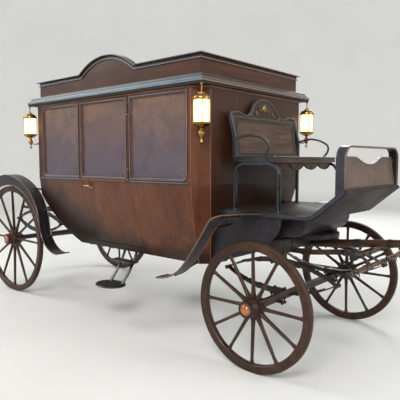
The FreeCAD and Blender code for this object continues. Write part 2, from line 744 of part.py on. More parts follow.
def lower_table():
    """Lower turntable plate on the timber transom that the springs carry."""
    z = LOWER_TABLE_Z
    plate = Part.makeCylinder(TABLE_R, TABLE_T, V(0, 0, z))
    hole = Part.makeCylinder(TABLE_R - 46, TABLE_T, V(0, 0, z))
    transom = box(-TRANSOM_HALF, TRANSOM_HALF, -SPRING_Y - 30, SPRING_Y + 30, TRANSOM_Z, z + TABLE_T)
    bore = Part.makeCylinder(KING_R + RUN_CLEAR, 400, V(0, 0, TABLE_Z - 300))
    return fused([plate.cut(hole), transom]).cut(bore)


def dash_panel():
    """Plate with a scalloped top, leaning back a little, its foot on the toe board."""
    z0, z1, dip = DASH_Z - 34, DASH_TOP, 54.0
    half, top_half, reach = DASH_HALF - 14, DASH_HALF - 32, 262.0
    turn = 2 * math.atan(dip / reach)
    outer = 0.34 * reach / math.sin(turn)

    def on(side, part):
        angle = turn * part
        return V(0, side * (reach - outer * math.sin(angle)), z1 - outer * (1 - math.cos(angle)))
    items = [
        (V(0, -half, z0), V(0, half, z0)),
        (V(0, half, z0), V(0, top_half, z1)),
        (V(0, top_half, z1), on(1, 0)),
        (on(1, 0), on(1, 0.5), on(1, 1)),
        (on(1, 1), V(0, 0, z1 - dip), on(-1, 1)),
        (on(-1, 1), on(-1, 0.5), on(-1, 0)),
        (on(-1, 0), V(0, -top_half, z1)),
        (V(0, -top_half, z1), V(0, -half, z0)),
    ]
    plate = slab(items, V(12, 0, 0))
    lean = math.degrees(math.atan2(DASH_LEAN, z1 - z0))
    plate.rotate(V(0, 0, z0), Y_AXIS, -lean)
    return plate.translated(V(DASH_X - 30, 0, 0)).cut(platform(200, SEAT_GAP))


def dash_rail():
    """Deep flat strap bent over the dash, with rounded shoulders, its feet on the toe board."""
    half = DASH_HALF + 10
    x = DASH_X - RAIL_DEEP / 2 - 4
    z0, z1 = FLOOR_Z, RAIL_TOP - RAIL_T / 2
    points = [V(x, -half, z0), V(x, -half, z1), V(x, half, z1), V(x, half, z0)]
    return bent_bar(bent_path(points, 90), RAIL_DEEP, RAIL_T, X_AXIS).cut(platform(200, SEAT_GAP))


# Driver's seat

def seat_leg():
    """Flat iron bent to an upside-down U, its top against the end bar of the seat."""
    y = -SEAT_HALF + IRON_IN
    x0, x1 = SEAT_REAR + 6, SEAT_FRONT + 36
    top, foot = SEAT_Z - SEAT_T - IRON_T / 2 + 2, FLOOR_Z + SEAT_GAP
    points = [V(x0, y, foot), V(x0, y, top), V(x1, y, top), V(x1, y, foot)]
    return bent_bar(bent_path(points, 90), IRON_W, IRON_T, Y_AXIS)


def seat_post():
    """End iron of the back: upright, then leaning back from the arm."""
    y = -SEAT_HALF + IRON_IN
    x = SEAT_REAR + 4
    points = [V(x, y, SEAT_Z - SEAT_T), V(x, y, SEAT_Z + 140), V(x - 52, y, SEAT_Z + 350)]
    return bent_bar(bent_path(points, 120), IRON_W, POST_DEEP, Y_AXIS)


def seat_arm():
    """Arm iron in a flat loop from the post forward, round its nose and back down to the seat."""
    y = -SEAT_HALF + IRON_IN

    def at(x, z):
        return V(x, y, SEAT_Z + z)
    rear, crest = at(SEAT_REAR + 6, 150), at(SEAT_REAR + 170, 160)
    nose, foot = at(SEAT_FRONT - 50, 88), at(SEAT_FRONT - 105, -2)
    path = [(rear, at(SEAT_REAR + 82, 167), crest), (crest, at(SEAT_FRONT - 74, 136), nose),
            (nose, at(SEAT_FRONT - 62, 34), foot)]
    return bent_bar(path, ARM_IRON_W, ARM_IRON_T, Y_AXIS)


def seat_irons():
    """Leg frame, end bar, back post and arm of each end."""
    leg, post, arm = seat_leg(), seat_post(), seat_arm()
    mid = SEAT_HALF - IRON_IN
    bar = box(SEAT_REAR - 12, SEAT_FRONT + 4, -mid - IRON_W / 2, -mid + IRON_W / 2, SEAT_Z - SEAT_T, SEAT_Z)
    return both(fused([leg, post, bar, arm]))


def seat_board():
    """Seat board between the end bars, rabbeted for the back, with a scalloped apron in front."""
    half = SEAT_HALF - IRON_IN - IRON_W / 2 - SEAT_GAP
    low = SEAT_Z - SEAT_T
    board = box(SEAT_REAR - 12, SEAT_FRONT, -half, half, low, SEAT_Z)
    board = board.cut(box(SEAT_REAR - 100, SEAT_REAR + 13, -1000, 1000, SEAT_Z - RABBET, 3000))
    span = 2 * half / 4
    items, y = [], -half
    for i in range(4):
        items.append((V(0, y, low - 14), V(0, y + span / 2, low - 58), V(0, y + span, low - 14)))
        y += span
    items += [(V(0, y, low - 14), V(0, y, low)), (V(0, y, low), V(0, -half, low)),
              (V(0, -half, low), V(0, -half, low - 14))]
    apron = slab(items, V(14, 0, 0)).translated(V(SEAT_FRONT - 40, 0, 0))
    return board.fuse(apron).removeSplitter()


def leaned(shape):
    """Sets a piece drawn upright from the origin onto the back of the seat board."""
    lean = shape.copy()
    lean.rotate(V(0, 0, 0), Y_AXIS, -SEAT_LEAN)
    drop = BACK_T * math.sin(math.radians(SEAT_LEAN))
    return lean.translated(V(SEAT_REAR + 12, 0, SEAT_Z - RABBET + SEAT_GAP + drop))


def seat_back():
    half = SEAT_HALF - IRON_IN - IRON_W / 2 - SEAT_GAP
    return leaned(box(-BACK_T, 0, -half, half, 0, BACK_HIGH))


def seat_crest():
    """Serpentine crest rail with a raised middle, on top of the back."""
    z = BACK_HIGH + SEAT_GAP
    h = SEAT_HALF - IRON_IN - IRON_W / 2 - SEAT_GAP
    items = [
        (V(0, -h, z), V(0, -h, z + 20)),
        (V(0, -h, z + 20), V(0, -h * 0.86, z + 38), V(0, -h * 0.70, z + 20)),
        (V(0, -h * 0.70, z + 20), V(0, -h * 0.50, z + 26), V(0, -h * 0.36, z + 90)),
        (V(0, -h * 0.36, z + 90), V(0, 0, z + 166), V(0, h * 0.36, z + 90)),
        (V(0, h * 0.36, z + 90), V(0, h * 0.50, z + 26), V(0, h * 0.70, z + 20)),
        (V(0, h * 0.70, z + 20), V(0, h * 0.86, z + 38), V(0, h, z + 20)),
        (V(0, h, z + 20), V(0, h, z)),
        (V(0, h, z), V(0, -h, z)),
    ]
    return leaned(slab(items, V(-BACK_T, 0, 0)))


# Lamps

def lamp_places():
    """Plan points of the right lamps, out along the corner chamfers."""
    off = LAMP_OFF / math.sqrt(2)
    mid = CHAMFER / 2
    front = V(FRONT_X - mid + off, -BODY_HALF + mid - off, 0)
    rear = V(REAR_X + mid - off, -BODY_HALF + mid - off, 0)
    return front, rear


def lamp_frame(place, toward):
    """Turned base, cap and hook rod with a scroll arm back to the corner."""
    base_z, top_z = LAMP_BASE_Z, LAMP_TOP_Z
    base_profile = [(0, 6), (12, 14), (30, 6), (52, 15), (72, 25), (92, 18), (108, 10), (122, 40), (142, 66), (150, 66)]
    base = turned(V(0, 0, base_z - 150), Z_AXIS, base_profile, LAMP_SIDES)
    cap_profile = [(0, 70), (8, 70), (22, 62), (36, 46), (48, 12), (49, 5), (WALL_TOP - SEAT_GAP - top_z, 5)]
    top = turned(V(0, 0, top_z), Z_AXIS, cap_profile, LAMP_SIDES)
    posts = []
    for i in range(4):
        a = math.radians(45 + 90 * i)
        x, y = 63 * math.cos(a), 63 * math.sin(a)
        posts.append(box(x - 2.5, x + 2.5, y - 2.5, y + 2.5, base_z - 4, top_z + 4))
    reach = LAMP_OFF - SEAT_GAP
    arm_a = V(0, 0, base_z - 80)
    arm_b = toward * (reach * 0.55) + V(0, 0, base_z - 104)
    arm_c = toward * reach + V(0, 0, base_z - 70)
    side = toward.cross(Z_AXIS).normalize()
    arm = bent_bar([(arm_a, arm_b, arm_c)], 14, 12, side)
    pad = Part.makeCylinder(20, 6, toward * (reach - 6) + V(0, 0, base_z - 70), toward)
    trim = Part.makeCylinder(30, 40, toward * reach + V(0, 0, base_z - 70), toward)
    lamp = fused([base, top] + posts + [arm.cut(trim), pad])
    return lamp.translated(place)


def lamp_glass(place):
    high = LAMP_TOP_Z - LAMP_BASE_Z - 2 * SEAT_GAP
    return Part.makeCylinder(LAMP_R, high, V(0, 0, LAMP_BASE_Z + SEAT_GAP)).translated(place)


# Fenders and step

def fender_plan():
    """Plan outline of the front sheet: a narrow band behind, turning inward to the platform edge."""
    inner, outer, edge = -FENDER_IN, -FENDER_OUT, -PLAT_HALF - 18 - 2 * SEAT_GAP
    items = [
        (V(-1000, outer, 0), V(-312, outer, 0)),
        (V(-312, outer, 0), V(-214, outer + 34, 0), V(-172, outer + 128, 0)),
        (V(-172, outer + 128, 0), V(-156, (outer + edge) / 2 + 26, 0), V(-112, edge, 0)),
        (V(-112, edge, 0), V(-306, edge, 0)),
        (V(-306, edge, 0), V(-286, edge - 110, 0), V(-300, edge - 196, 0)),
        (V(-300, edge - 196, 0), V(-322, inner + 20, 0), V(-376, inner, 0)),
        (V(-376, inner, 0), V(-1000, inner, 0)),
        (V(-1000, inner, 0), V(-1000, outer, 0)),
    ]
    return slab(items, V(0, 0, 1500))


def front_fender():
    """Sheet that springs from the platform edge, turns over the wheel and falls to a flared tail."""
    def at(x, z):
        return V(x, 0, z)
    start, crest, brow = at(-100, 1084), at(-188, 1106), at(-320, 1030)
    waist, heel, tip = at(-476, 804), at(-590, 668), at(-845, 566)
    over = [(start, at(-142, 1099), crest), (crest, at(-266, 1084), brow), (brow, at(-395, 917), waist)]
    tail = [(waist, at(-530, 733), heel), (heel, at(-704, 595), tip)]
    sheet = sheet_from(over + tail, FENDER_T, PLAT_HALF, FENDER_OUT).common(fender_plan())
    stays = [
        rod(V(-440, -300, 994), V(-352, -FENDER_IN - 30, 986), 8),
        rod(V(-705, -FENDER_IN - 50, 588), V(-705, -440, 676), 8),
    ]
    inner = box(-1500, 1500, -BOOT_HALF - SEAT_GAP, 1000, 0, 3000)
    stays = [stays[0].cut(inner), stays[1].cut(body_form(-SEAT_GAP))]
    return fused([sheet] + stays)


def sheet_from(pieces, thick, y0, y1):
    """Bent sheet of constant thickness along a chain of arcs, on the right side."""
    middle = V(0, -(y0 + y1) / 2, 0)
    moved = [tuple(point + middle for point in piece) for piece in pieces]
    return bent_bar(moved, y1 - y0, thick, Y_AXIS)


def rear_fender():
    """Narrow sheet over the rear wheel with a tapering outer flange, a flared tail and three stays."""
    def at(x, z, y=0):
        return V(x - WHEELBASE, y, z + REAR_R)
    back, crest, bend = at(-588, 362), at(-40, 725), at(410, 572)
    knee, flare, tip = at(622, 200), at(795, -38), at(980, -54)
    over = [(back, at(-375, 632), crest), (crest, at(200, 680), bend), (bend, at(558, 408), knee)]
    tail = [(knee, at(675, 64), flare), (flare, at(884, -64), tip)]
    sheet = sheet_from(over + tail, FENDER_T, REAR_FENDER_IN, REAR_FENDER_OUT)
    under = at(-40, 614)
    rim = over + [(knee, at(395, 487), under), (under, at(-360, 524), back)]
    flange = slab(rim, V(0, FENDER_T, 0)).translated(V(0, -REAR_FENDER_OUT, 0))
    reach = -REAR_FENDER_IN - 42
    bars = [
        rod(at(630, 546, -600), at(368, 594, reach), 9),
        rod(at(730, 410, -500), at(576, 360, reach), 8),
        rod(at(970, 135, -440), at(662, 90, reach), 9),
    ]
    stays = [bar.cut(body_form(-SEAT_GAP)) for bar in bars]
    return fused([sheet, flange] + [max(s.Solids, key=lambda one: one.Volume) for s in stays])


def step_plate():
    """Oval tread hung from two curved irons under the door."""
    centre = V(DOOR_MID + 71.5, -BODY_HALF + 10, 350)
    oval = Part.Ellipse(V(0, 0, 0), 150, 118).toShape()
    plate = Part.Face(Part.Wire(oval)).extrude(V(0, 0, 12)).translated(centre)
    parts = [plate]
    for dx in (-84, 84):
        a = V(centre.x + dx, centre.y + 60, centre.z + 6)
        b = V(a.x, centre.y + 165, centre.z + 130)
        c = V(a.x, -BODY_HALF_LOW + 60, BOTTOM_Z + 20)
        parts.append(bent_bar([(a, b, c)], 26, 12, X_AXIS))
    iron = fused(parts)
    return iron.cut(box(-3000, 0, -1000, 0, BOTTOM_Z - SEAT_GAP, 900))


# Rear carriage

def pump_handles():
    """Irons from under the floor back over the rear springs, tied by a cross bar."""
    y = -SPRING_Y
    thick, wide = 28.0, 40.0
    top = REAR_R + AXLE_SQ / 2 + 12 + SPRING_HIGH + SEAT_GAP
    floor_z = BOTTOM_Z - thick / 2 - SEAT_GAP
    points = [V(REAR_X + 950, y, floor_z), V(REAR_X_LOW - 40, y, floor_z), V(REAR_X + 50, y, top + thick / 2),
              V(-WHEELBASE - 390, y, top + thick / 2)]
    bar = bent_bar(bent_path(points, 260), wide, thick, Y_AXIS).cut(body_form(-SEAT_GAP))
    bar = max(bar.Solids, key=lambda one: one.Volume)
    cross = box(-WHEELBASE - 20, -WHEELBASE + 20, y, -y, top, top + thick)
    return fused(both(bar) + [cross])


def door_handle():
    """Rose, spindle and lever of the door, fitted to the turned-under panel."""
    z, x = 1248.0, DOOR_REAR + 100
    y = -BODY_HALF + 20
    spindle = Part.makeCylinder(9, 54, V(x, y, z), -Y_AXIS)
    lever = taper(V(x, y - 50, z), V(x + 92, y - 50, z - 12), 8, 5)
    rose = Part.makeCylinder(22, 18, V(x, y, z), -Y_AXIS)
    whole = fused([spindle, lever, rose]).cut(body_form(-SEAT_GAP))
    return max(whole.Solids, key=lambda one: one.Volume)


def splinter_bar():
    """Evener across the pole, with the two links that drop to the swingletrees."""
    bar = box(EVENER_X - 20, EVENER_X + 20, -TREE_Y - 40, TREE_Y + 40, EVENER_Z - 16, EVENER_Z + 16)
    parts = [bar]
    for y in (-TREE_Y, TREE_Y):
        a = V(EVENER_X + 18, y, EVENER_Z)
        b = V(EVENER_X + 70, y, EVENER_Z - 8)
        c = V(TREE_X, y, TREE_Z + 34)
        parts.append(bent_bar([(a, b, c)], 26, 12, Y_AXIS))
        parts.append(Part.makeCylinder(20, 12, V(TREE_X, y, TREE_Z + 28)))
        parts.append(Part.makeCylinder(7, 64, V(TREE_X, y, TREE_Z - 32)))
        parts.append(Part.makeCylinder(13, 6, V(TREE_X, y, TREE_Z - 36)))
    return fused(parts)


def swingletree():
    """Tapered bar that swings on its link pin, with a ring ferrule at each end."""
    centre = V(TREE_X, -TREE_Y, TREE_Z)
    parts = []
    for side in (-1, 1):
        end = centre + Y_AXIS * (side * TREE_HALF)
        parts.append(taper(centre, end, 21, 14))
        parts.append(rod(end - Y_AXIS * (side * 26), end, 17))
    bore = Part.makeCylinder(7 + RUN_CLEAR, 80, V(TREE_X, -TREE_Y, TREE_Z - 40))
    return fused(parts).cut(bore)


def pole():
    """Centre pole, its butt against the transom, rising steadily to a round iron ferrule."""
    rise = V(1, 0, POLE_SLOPE).normalize()
    end = POLE_BUTT + rise * ((POLE_REACH - FERRULE_R * rise.z - POLE_BUTT.x) / rise.x)
    bar = taper(POLE_BUTT - rise * 20, end - rise * 10, POLE_R, POLE_TIP_R)
    ferrule = rod(end - rise * FERRULE_LONG, end, FERRULE_R)
    return fused([bar.cut(box(-200, POLE_BUTT.x, -200, 200, 0, 2000)), ferrule])


def futchell():
    """Bent arm from behind the transom forward to the splinter bar."""
    y = -230.0
    z = TRANSOM_Z - SEAT_GAP - BAR / 2
    end = EVENER_X - 20 - SEAT_GAP
    points = [V(-300, y, z), V(140, y, z), V(400, y, EVENER_Z), V(end, y, EVENER_Z)]
    return bent_bar(bent_path(points, 120), BAR, BAR, Y_AXIS)


def spring_block(x, y, z0, z1):
    return box(x - 60, x + 60, y - LEAF_W / 2, y + LEAF_W / 2, z0, z1)


def front_springs():
    low = FRONT_R + AXLE_SQ / 2 + 10
    spring = elliptic_spring(0, -SPRING_Y, low)
    foot = spring_block(0, -SPRING_Y, FRONT_R + AXLE_SQ / 2 + SEAT_GAP, low + 12)
    head = spring_block(0, -SPRING_Y, low + SPRING_HIGH - 12, TRANSOM_Z - SEAT_GAP)
    return both(fused([spring, foot, head]))


def rear_springs():
    low = REAR_R + AXLE_SQ / 2 + 12
    spring = elliptic_spring(-WHEELBASE, -SPRING_Y, low)
    foot = spring_block(-WHEELBASE, -SPRING_Y, REAR_R + AXLE_SQ / 2 + SEAT_GAP, low + 12)
    head = spring_block(-WHEELBASE, -SPRING_Y, low + SPRING_HIGH - 12, low + SPRING_HIGH)
    return both(fused([spring, foot, head]))


def placed_wheel(shape, side, radius, x):
    """Moves a right wheel piece to its corner; side -1 is right and 1 is left."""
    moved = shape if side < 0 else mirrored(shape)
    return moved.translated(V(x, side * TRACK / 2, radius))


def save(name, shapes):
    shapes = shapes if isinstance(shapes, list) else [shapes]
    solids = []
    for shape in shapes:
        solids += shape.Solids
    whole = solids[0] if len(solids) == 1 else Part.makeCompound(solids)
    whole = whole.translated(V(FRONT_AXLE_X, 0, 0))
    whole.exportStep("parts/%s.step" % name)


def main():
    os.makedirs("parts", exist_ok=True)

    side = cabin_side()
    save("cabin_side_right", side)
    save("cabin_side_left", mirrored(side))
    save("cabin_front", cabin_front())
    save("cabin_rear", cabin_rear())
    save("cabin_floor", cabin_floor())
    save("roof_deck", roof_deck())
    save("roof_fascia", fascia_boards())
    save("roof_crown", crown_moulding())
    save("eave_cornice", eave_cornice())

    rear_window, door_window, front_window = side_windows()
    waist_rear, waist_door, waist_front = waist_moulding()
    save("side_glass", both(window_pane(rear_window)) + both(window_pane(front_window)) + [rear_pane()])
    beads = [window_bead(rear_window), window_bead(front_window), waist_rear, waist_front]
    beads += wall_knuckles()
    save("side_mouldings", [s for b in beads for s in both(b)] + [rear_bead()])

    door = fused([door_panel(), window_bead(door_window), waist_door] + door_knuckles())
    pane = window_pane(door_window)
    handle = door_handle()
    for name, turn in (("right", lambda s: s), ("left", mirrored)):
        save("door_%s" % name, turn(door))
        save("door_glass_%s" % name, turn(pane))
        save("door_handle_%s" % name, turn(handle))

    wood, soft = benches()
    save("bench_frames", wood)
    save("bench_cushions", soft)

    front_place, rear_place = lamp_places()
    lamps = [lamp_frame(front_place, V(-1, 1, 0).normalize()), lamp_frame(rear_place, V(1, 1, 0).normalize())]
    save("lamp_frames", [s for lamp in lamps for s in both(lamp)])
    save("lamp_glass", both(lamp_glass(front_place)) + both(lamp_glass(rear_place)))

    save("driver_platform", platform())
    save("platform_edge", both(platform_edge()))
    save("platform_bolster", bolster())
    save("dash_panel", dash_panel())
    save("dash_rail", dash_rail())
    save("seat_irons", seat_irons())
    save("seat_board", [seat_board(), seat_back()])
    save("seat_crest", seat_crest())

    save("front_fenders", both(front_fender()))
    save("rear_fenders", both(rear_fender()))
    save("door_steps", both(step_plate()))
    save("pump_handles", pump_handles())
    save("rear_springs", rear_springs())
    save("rear_axle", axle(REAR_R, AXLE_SQ).translated(V(-WHEELBASE, 0, 0)))
    save("turntable_upper", upper_table())

    save("turntable_lower", lower_table())
    save("front_springs", front_springs())
    save("front_axle", axle(FRONT_R, AXLE_SQ))
    save("futchells", both(futchell()))
    save("pole", pole())
    save("splinter_bar", splinter_bar())
    tree = swingletree()
    save("swingletree_right", tree)
    save("swingletree_left", mirrored(tree))

    for end, radius, x in (("front", FRONT_R, 0.0), ("rear", REAR_R, -WHEELBASE)):
        wood_part, iron = wheel_wood(radius), tyre(radius)
        for name, place in (("right", -1), ("left", 1)):
            save("wheel_%s_%s" % (end, name), placed_wheel(wood_part, place, radius, x))
            save("tyre_%s_%s" % (end, name), placed_wheel(iron, place, radius, x))


main()
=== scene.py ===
"""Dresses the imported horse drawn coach: varnished wood, black iron, lit lamps, cushions and fine fittings.

The frame is in metres, +X forward, +Y left, +Z up, with the ground at Z 0.  Shapes are written in
millimetres from the front axle, as in the part's source, and at() turns them into points of the frame.
Makers of paired pieces shape the right one, and pair() adds its mirror image on the left.
"""
import math
import bmesh
import bpy
from mathutils import Matrix, Vector


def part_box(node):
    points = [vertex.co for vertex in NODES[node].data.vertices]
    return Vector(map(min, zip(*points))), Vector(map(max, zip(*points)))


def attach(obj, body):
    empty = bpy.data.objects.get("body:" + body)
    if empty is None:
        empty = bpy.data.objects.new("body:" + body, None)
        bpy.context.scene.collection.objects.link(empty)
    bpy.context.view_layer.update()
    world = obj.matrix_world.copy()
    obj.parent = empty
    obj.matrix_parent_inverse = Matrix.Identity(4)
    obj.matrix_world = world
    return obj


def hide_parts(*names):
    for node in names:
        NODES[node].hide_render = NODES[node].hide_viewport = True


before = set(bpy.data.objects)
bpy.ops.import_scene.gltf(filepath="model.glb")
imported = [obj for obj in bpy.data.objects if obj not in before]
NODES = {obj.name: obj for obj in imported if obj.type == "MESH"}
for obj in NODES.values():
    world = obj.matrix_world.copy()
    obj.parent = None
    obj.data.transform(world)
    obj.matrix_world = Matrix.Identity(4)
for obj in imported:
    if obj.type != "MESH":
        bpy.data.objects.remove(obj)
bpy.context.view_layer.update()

V = Vector
X_AXIS, Y_AXIS, Z_AXIS, RIGHT = V((1, 0, 0)), V((0, 1, 0)), V((0, 0, 1)), V((0, -1, 0))
CORNERS = ("front_right", "front_left", "rear_right", "rear_left")


# Places read from the frame

def middle(name):
    low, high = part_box(name)
    return (low + high) / 2


FRONT_HUB, REAR_HUB = middle("front_axle"), middle("rear_axle")
AXLE_X = FRONT_HUB.x
TYRE_Y = abs(middle("tyre_front_right").y)
BODY_REAR, _, BODY_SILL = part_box("cabin_side_right")[0]


def at(x, y, z):
    """Point given in millimetres from the front axle."""
    return V((AXLE_X + x / 1000, y / 1000, z / 1000))


def ahead(x):
    """A place of the frame in millimetres ahead of the front axle."""
    return (x - AXLE_X) * 1000


REAR_X, FRONT_Z, REAR_Z = round(ahead(REAR_HUB.x)), round(FRONT_HUB.z * 1000), round(REAR_HUB.z * 1000)


# Nodes of the materials; each helper finds its tree from the socket that it is given

def new_material(name, rough=0.5, metallic=0.0, coat=0.0, coat_rough=0.1, ior=1.5, specular=0.3):
    mat = bpy.data.materials.new(name)
    mat.use_nodes = True
    shader = mat.node_tree.nodes["Principled BSDF"]
    for key, value in (("Roughness", rough), ("Metallic", metallic), ("Coat Weight", coat),
                       ("Coat Roughness", coat_rough), ("IOR", ior), ("Specular IOR Level", specular)):
        shader.inputs[key].default_value = value
    return mat, mat.node_tree, shader


def linear(r, g, b):
    """Colour written as 0-255 screen values, turned to linear light."""
    return tuple(((c / 255 + 0.055) / 1.055) ** 2.4 if c > 10 else c / 3294.6 for c in (r, g, b)) + (1.0,)


def shaded(colour, by, plus=0.0):
    """The colour made darker or lighter."""
    return tuple(min(1, c * by + plus) for c in colour[:3]) + (1,)


def node(tree, kind, *sources, **inputs):
    """New node: sources go to its first sockets in order, and inputs to the sockets of those names."""
    made = tree.nodes.new("ShaderNode" + kind)
    for key, value in inputs.items():
        made.inputs[key.replace("_", " ")].default_value = value
    for socket, source in zip(made.inputs, sources):
        tree.links.new(source, socket)
    return made


def maths(operation, *sources):
    made = node(sources[0].id_data, "Math", *sources)
    made.operation = operation
    return made.outputs[0]


def place(tree, output="Object"):
    return tree.nodes.new("ShaderNodeTexCoord").outputs[output]


def along(tree, axis, output="Object"):
    """One coordinate of the place, or of the normal, in object space."""
    return node(tree, "SeparateXYZ", place(tree, output)).outputs[axis]


def noise(tree, size, detail, rough, distort=0.0, scale=(1, 1, 1)):
    """Noise in object space; scale stretches it along each axis."""
    fit = node(tree, "Mapping", place(tree), Scale=scale)
    return node(tree, "TexNoise", fit.outputs[0], Scale=size, Detail=detail, Roughness=rough,
                Distortion=distort).outputs["Fac"]


def ramp(source, *stops):
    made = node(source.id_data, "ValToRGB", source)
    band = made.color_ramp
    while len(band.elements) < len(stops):
        band.elements.new(0.5)
    for element, (spot, colour) in zip(band.elements, stops):
        element.position, element.color = spot, colour
    return made.outputs["Color"]


def spread(source, low, high, to_low, to_high):
    return node(source.id_data, "MapRange", source, From_Min=low, From_Max=high, To_Min=to_low,
                To_Max=to_high).outputs["Result"]


def mixed(factor, first, second, mode="MIX"):
    """Colours mixed by a factor; the second is a plain colour."""
    made = factor.id_data.nodes.new("ShaderNodeMix")
    made.data_type, made.blend_type = "RGBA", mode
    factor.id_data.links.new(factor, made.inputs[0])
    if hasattr(first, "node"):
        factor.id_data.links.new(first, made.inputs[6])
    else:
        made.inputs[6].default_value = first
    made.inputs[7].default_value = second
    return made.outputs[2]


def dress(shader, tone, height, strength, depth, cloud=None, span=()):
    """Gives the shader its colour, its bump, and a roughness that follows the clouds over a span."""
    links = tone.id_data.links
    links.new(tone, shader.inputs["Base Color"])
    if cloud:
        links.new(spread(cloud, *span), shader.inputs["Roughness"])
    bump = node(tone.id_data, "Bump", Strength=strength, Distance=depth)
    links.new(height, bump.inputs["Height"])
    links.new(bump.outputs["Normal"], shader.inputs["Normal"])


# Kinds of finish

def fender_shadow_and_dark_sill(tone, share):
    """Painted shadow of the rear fender on the body: a dark patch in the lower rear corner, and the panel darker
    towards the sill, both with a cloudy edge.
    """
    tree = tone.id_data
    back = spread(along(tree, "X"), BODY_REAR, BODY_REAR + 1.15, 0.0, 1.0)
    up = spread(along(tree, "Z"), BODY_SILL, BODY_SILL + 0.72, 0.0, 1.0)
    edge = spread(noise(tree, 4.5, 6, 0.6), 0.3, 0.7, -0.14, 0.14)
    corner = maths("ADD", maths("ADD", back, up), edge)
    # Painted shadow: the rear fender's shadow as a near-black brown in the lower rear corner.
    tone = mixed(spread(corner, 0.86, 1.28, share, 0.0), tone, linear(16, 9, 6))
    # The panel darker towards the sill, with a cloudy edge.
    return mixed(spread(maths("ADD", up, edge), 0.0, 0.26, share * 0.8, 0.0), tone, linear(24, 14, 9))


def wood(name, dark, mid, light, grain, rough=(0.32, 0.5), coat=0.18, dust=0.0, bump=0.25, low_shade=0.0):
    """Varnished timber: long grain, finer pores, cloudy tone changes, dust gathered low down, and on the body's panels
    a painted fender shadow and a darker sill.
    """
    mat, tree, shader = new_material(name, coat=coat, coat_rough=0.12, specular=0.22)
    dark, mid, light = linear(*dark), linear(*mid), linear(*light)

    def grained(by, *spec):
        return noise(tree, *spec, scale=[g * by for g in grain])
    fine, cloud = grained(4, 9.0, 5, 0.6, 0.2), noise(tree, 1.7, 3, 0.5, 0.3)
    tone = ramp(grained(1, 5.0, 8, 0.62, 0.8), (0.25, dark), (0.5, mid), (0.78, light))
    tone = mixed(spread(grained(0.35, 2.2, 5, 0.6, 1.4), 0.3, 0.75, 0.0, 0.55), tone, dark)
    tone = mixed(spread(fine, 0.52, 0.66, 0.0, 0.35), tone, shaded(dark, 0.45))
    tone = mixed(spread(cloud, 0.35, 0.7, 0.0, 0.35), tone, light, "SOFT_LIGHT")
    if dust:
        low = spread(along(tree, "Z"), 0.95, 0.45, 0.0, dust)
        speck = spread(noise(tree, 24, 6, 0.7), 0.4, 0.7, 0.2, 1.0)
        tone = mixed(maths("MULTIPLY", low, speck), tone, linear(118, 98, 80))
    # Painted shadow of the rear fender and a darker sill, on the body's panels only.
    if low_shade:
        tone = fender_shadow_and_dark_sill(tone, low_shade)
    dress(shader, tone, fine, bump, 0.0012, cloud, (0.3, 0.75, *rough))
    return mat


def painted(name, base, edge, rough=(0.22, 0.42), metallic=0.0, coat=0.3, bump=0.12, rust=0.0):
    """Painted iron: brushed unevenness, dull patches, and worn or rusty specks."""
    mat, tree, shader = new_material(name, metallic=metallic, coat=coat, coat_rough=0.15)
    base, edge = linear(*base), linear(*edge)
    cloud = noise(tree, 3.5, 5, 0.6, 0.5)
    tone = ramp(cloud, (0.3, base), (0.72, edge))
    speck = spread(noise(tree, 46, 8, 0.75), 0.64, 0.72, 0.0, 0.5)
    tone = mixed(speck, tone, shaded(edge, 2.6, 0.01))
    if rust:
        patch = spread(noise(tree, 11, 9, 0.72, 0.4), 0.55, 0.72, 0.0, rust)
        tone = mixed(patch, tone, linear(96, 52, 28))
    dress(shader, tone, noise(tree, 90, 4, 0.6), bump, 0.0006, cloud, (0.3, 0.7, *rough))
    return mat


def metal(name, base, dull, rough=(0.2, 0.42)):
    """Polished metal with soft tarnish and fine scratches."""
    mat, tree, shader = new_material(name, metallic=1.0)
    cloud = noise(tree, 14, 7, 0.65, 0.6)
    tone = mixed(spread(cloud, 0.42, 0.68, 0.0, 0.5), linear(*base), linear(*dull))
    scratch = noise(tree, 8, 4, 0.6, scale=(6, 60, 60))
    dress(shader, tone, scratch, 0.08, 0.0004, cloud, (0.35, 0.7, *rough))
    return mat


def hide(name, dark, light, bump):
    """Leather: pebbled grain, creases and rubbed lighter patches."""
    mat, tree, shader = new_material(name, coat=0.12, coat_rough=0.3)
    dark = linear(*dark)
    pebble = node(tree, "TexVoronoi", place(tree), Scale=260.0)
    cloud = noise(tree, 4.5, 6, 0.65, 0.8)
    crease = noise(tree, 26, 8, 0.7, 1.6, (1.0, 2.2, 1.0))
    tone = ramp(cloud, (0.3, dark), (0.72, linear(*light)))
    tone = mixed(spread(crease, 0.55, 0.7, 0.0, 0.4), tone, shaded(dark, 0.5))
    dress(shader, tone, maths("ADD", pebble.outputs["Distance"], crease), bump, 0.0012, cloud,
          (0.3, 0.7, 0.35, 0.6))
    return mat


def cloth(name, dark, light):
    """Close velvet-like cloth with a fine weave, painted shade in the weave's gaps, soft nap patches and a sheen."""
    mat, tree, shader = new_material(name, rough=0.9)
    shader.inputs["Sheen Weight"].default_value = 0.6
    shader.inputs["Sheen Roughness"].default_value = 0.4
    dark, threads = linear(*dark), []
    for direction in ("X", "Y"):
        weave = node(tree, "TexWave", place(tree), Scale=900.0, Distortion=0.6, Detail=1.0)
        weave.bands_direction = direction
        threads.append(weave.outputs["Fac"])
    height = maths("ADD", *threads)
    tone = ramp(noise(tree, 9, 6, 0.7, 1.0), (0.32, dark), (0.7, linear(*light)))
    # Painted shade: darker where the threads sit low in the weave.
    tone = mixed(spread(height, 0.2, 1.6, 0.25, 0.0), tone, shaded(dark, 0.4))
    dress(shader, tone, height, 0.25, 0.0005)
    return mat


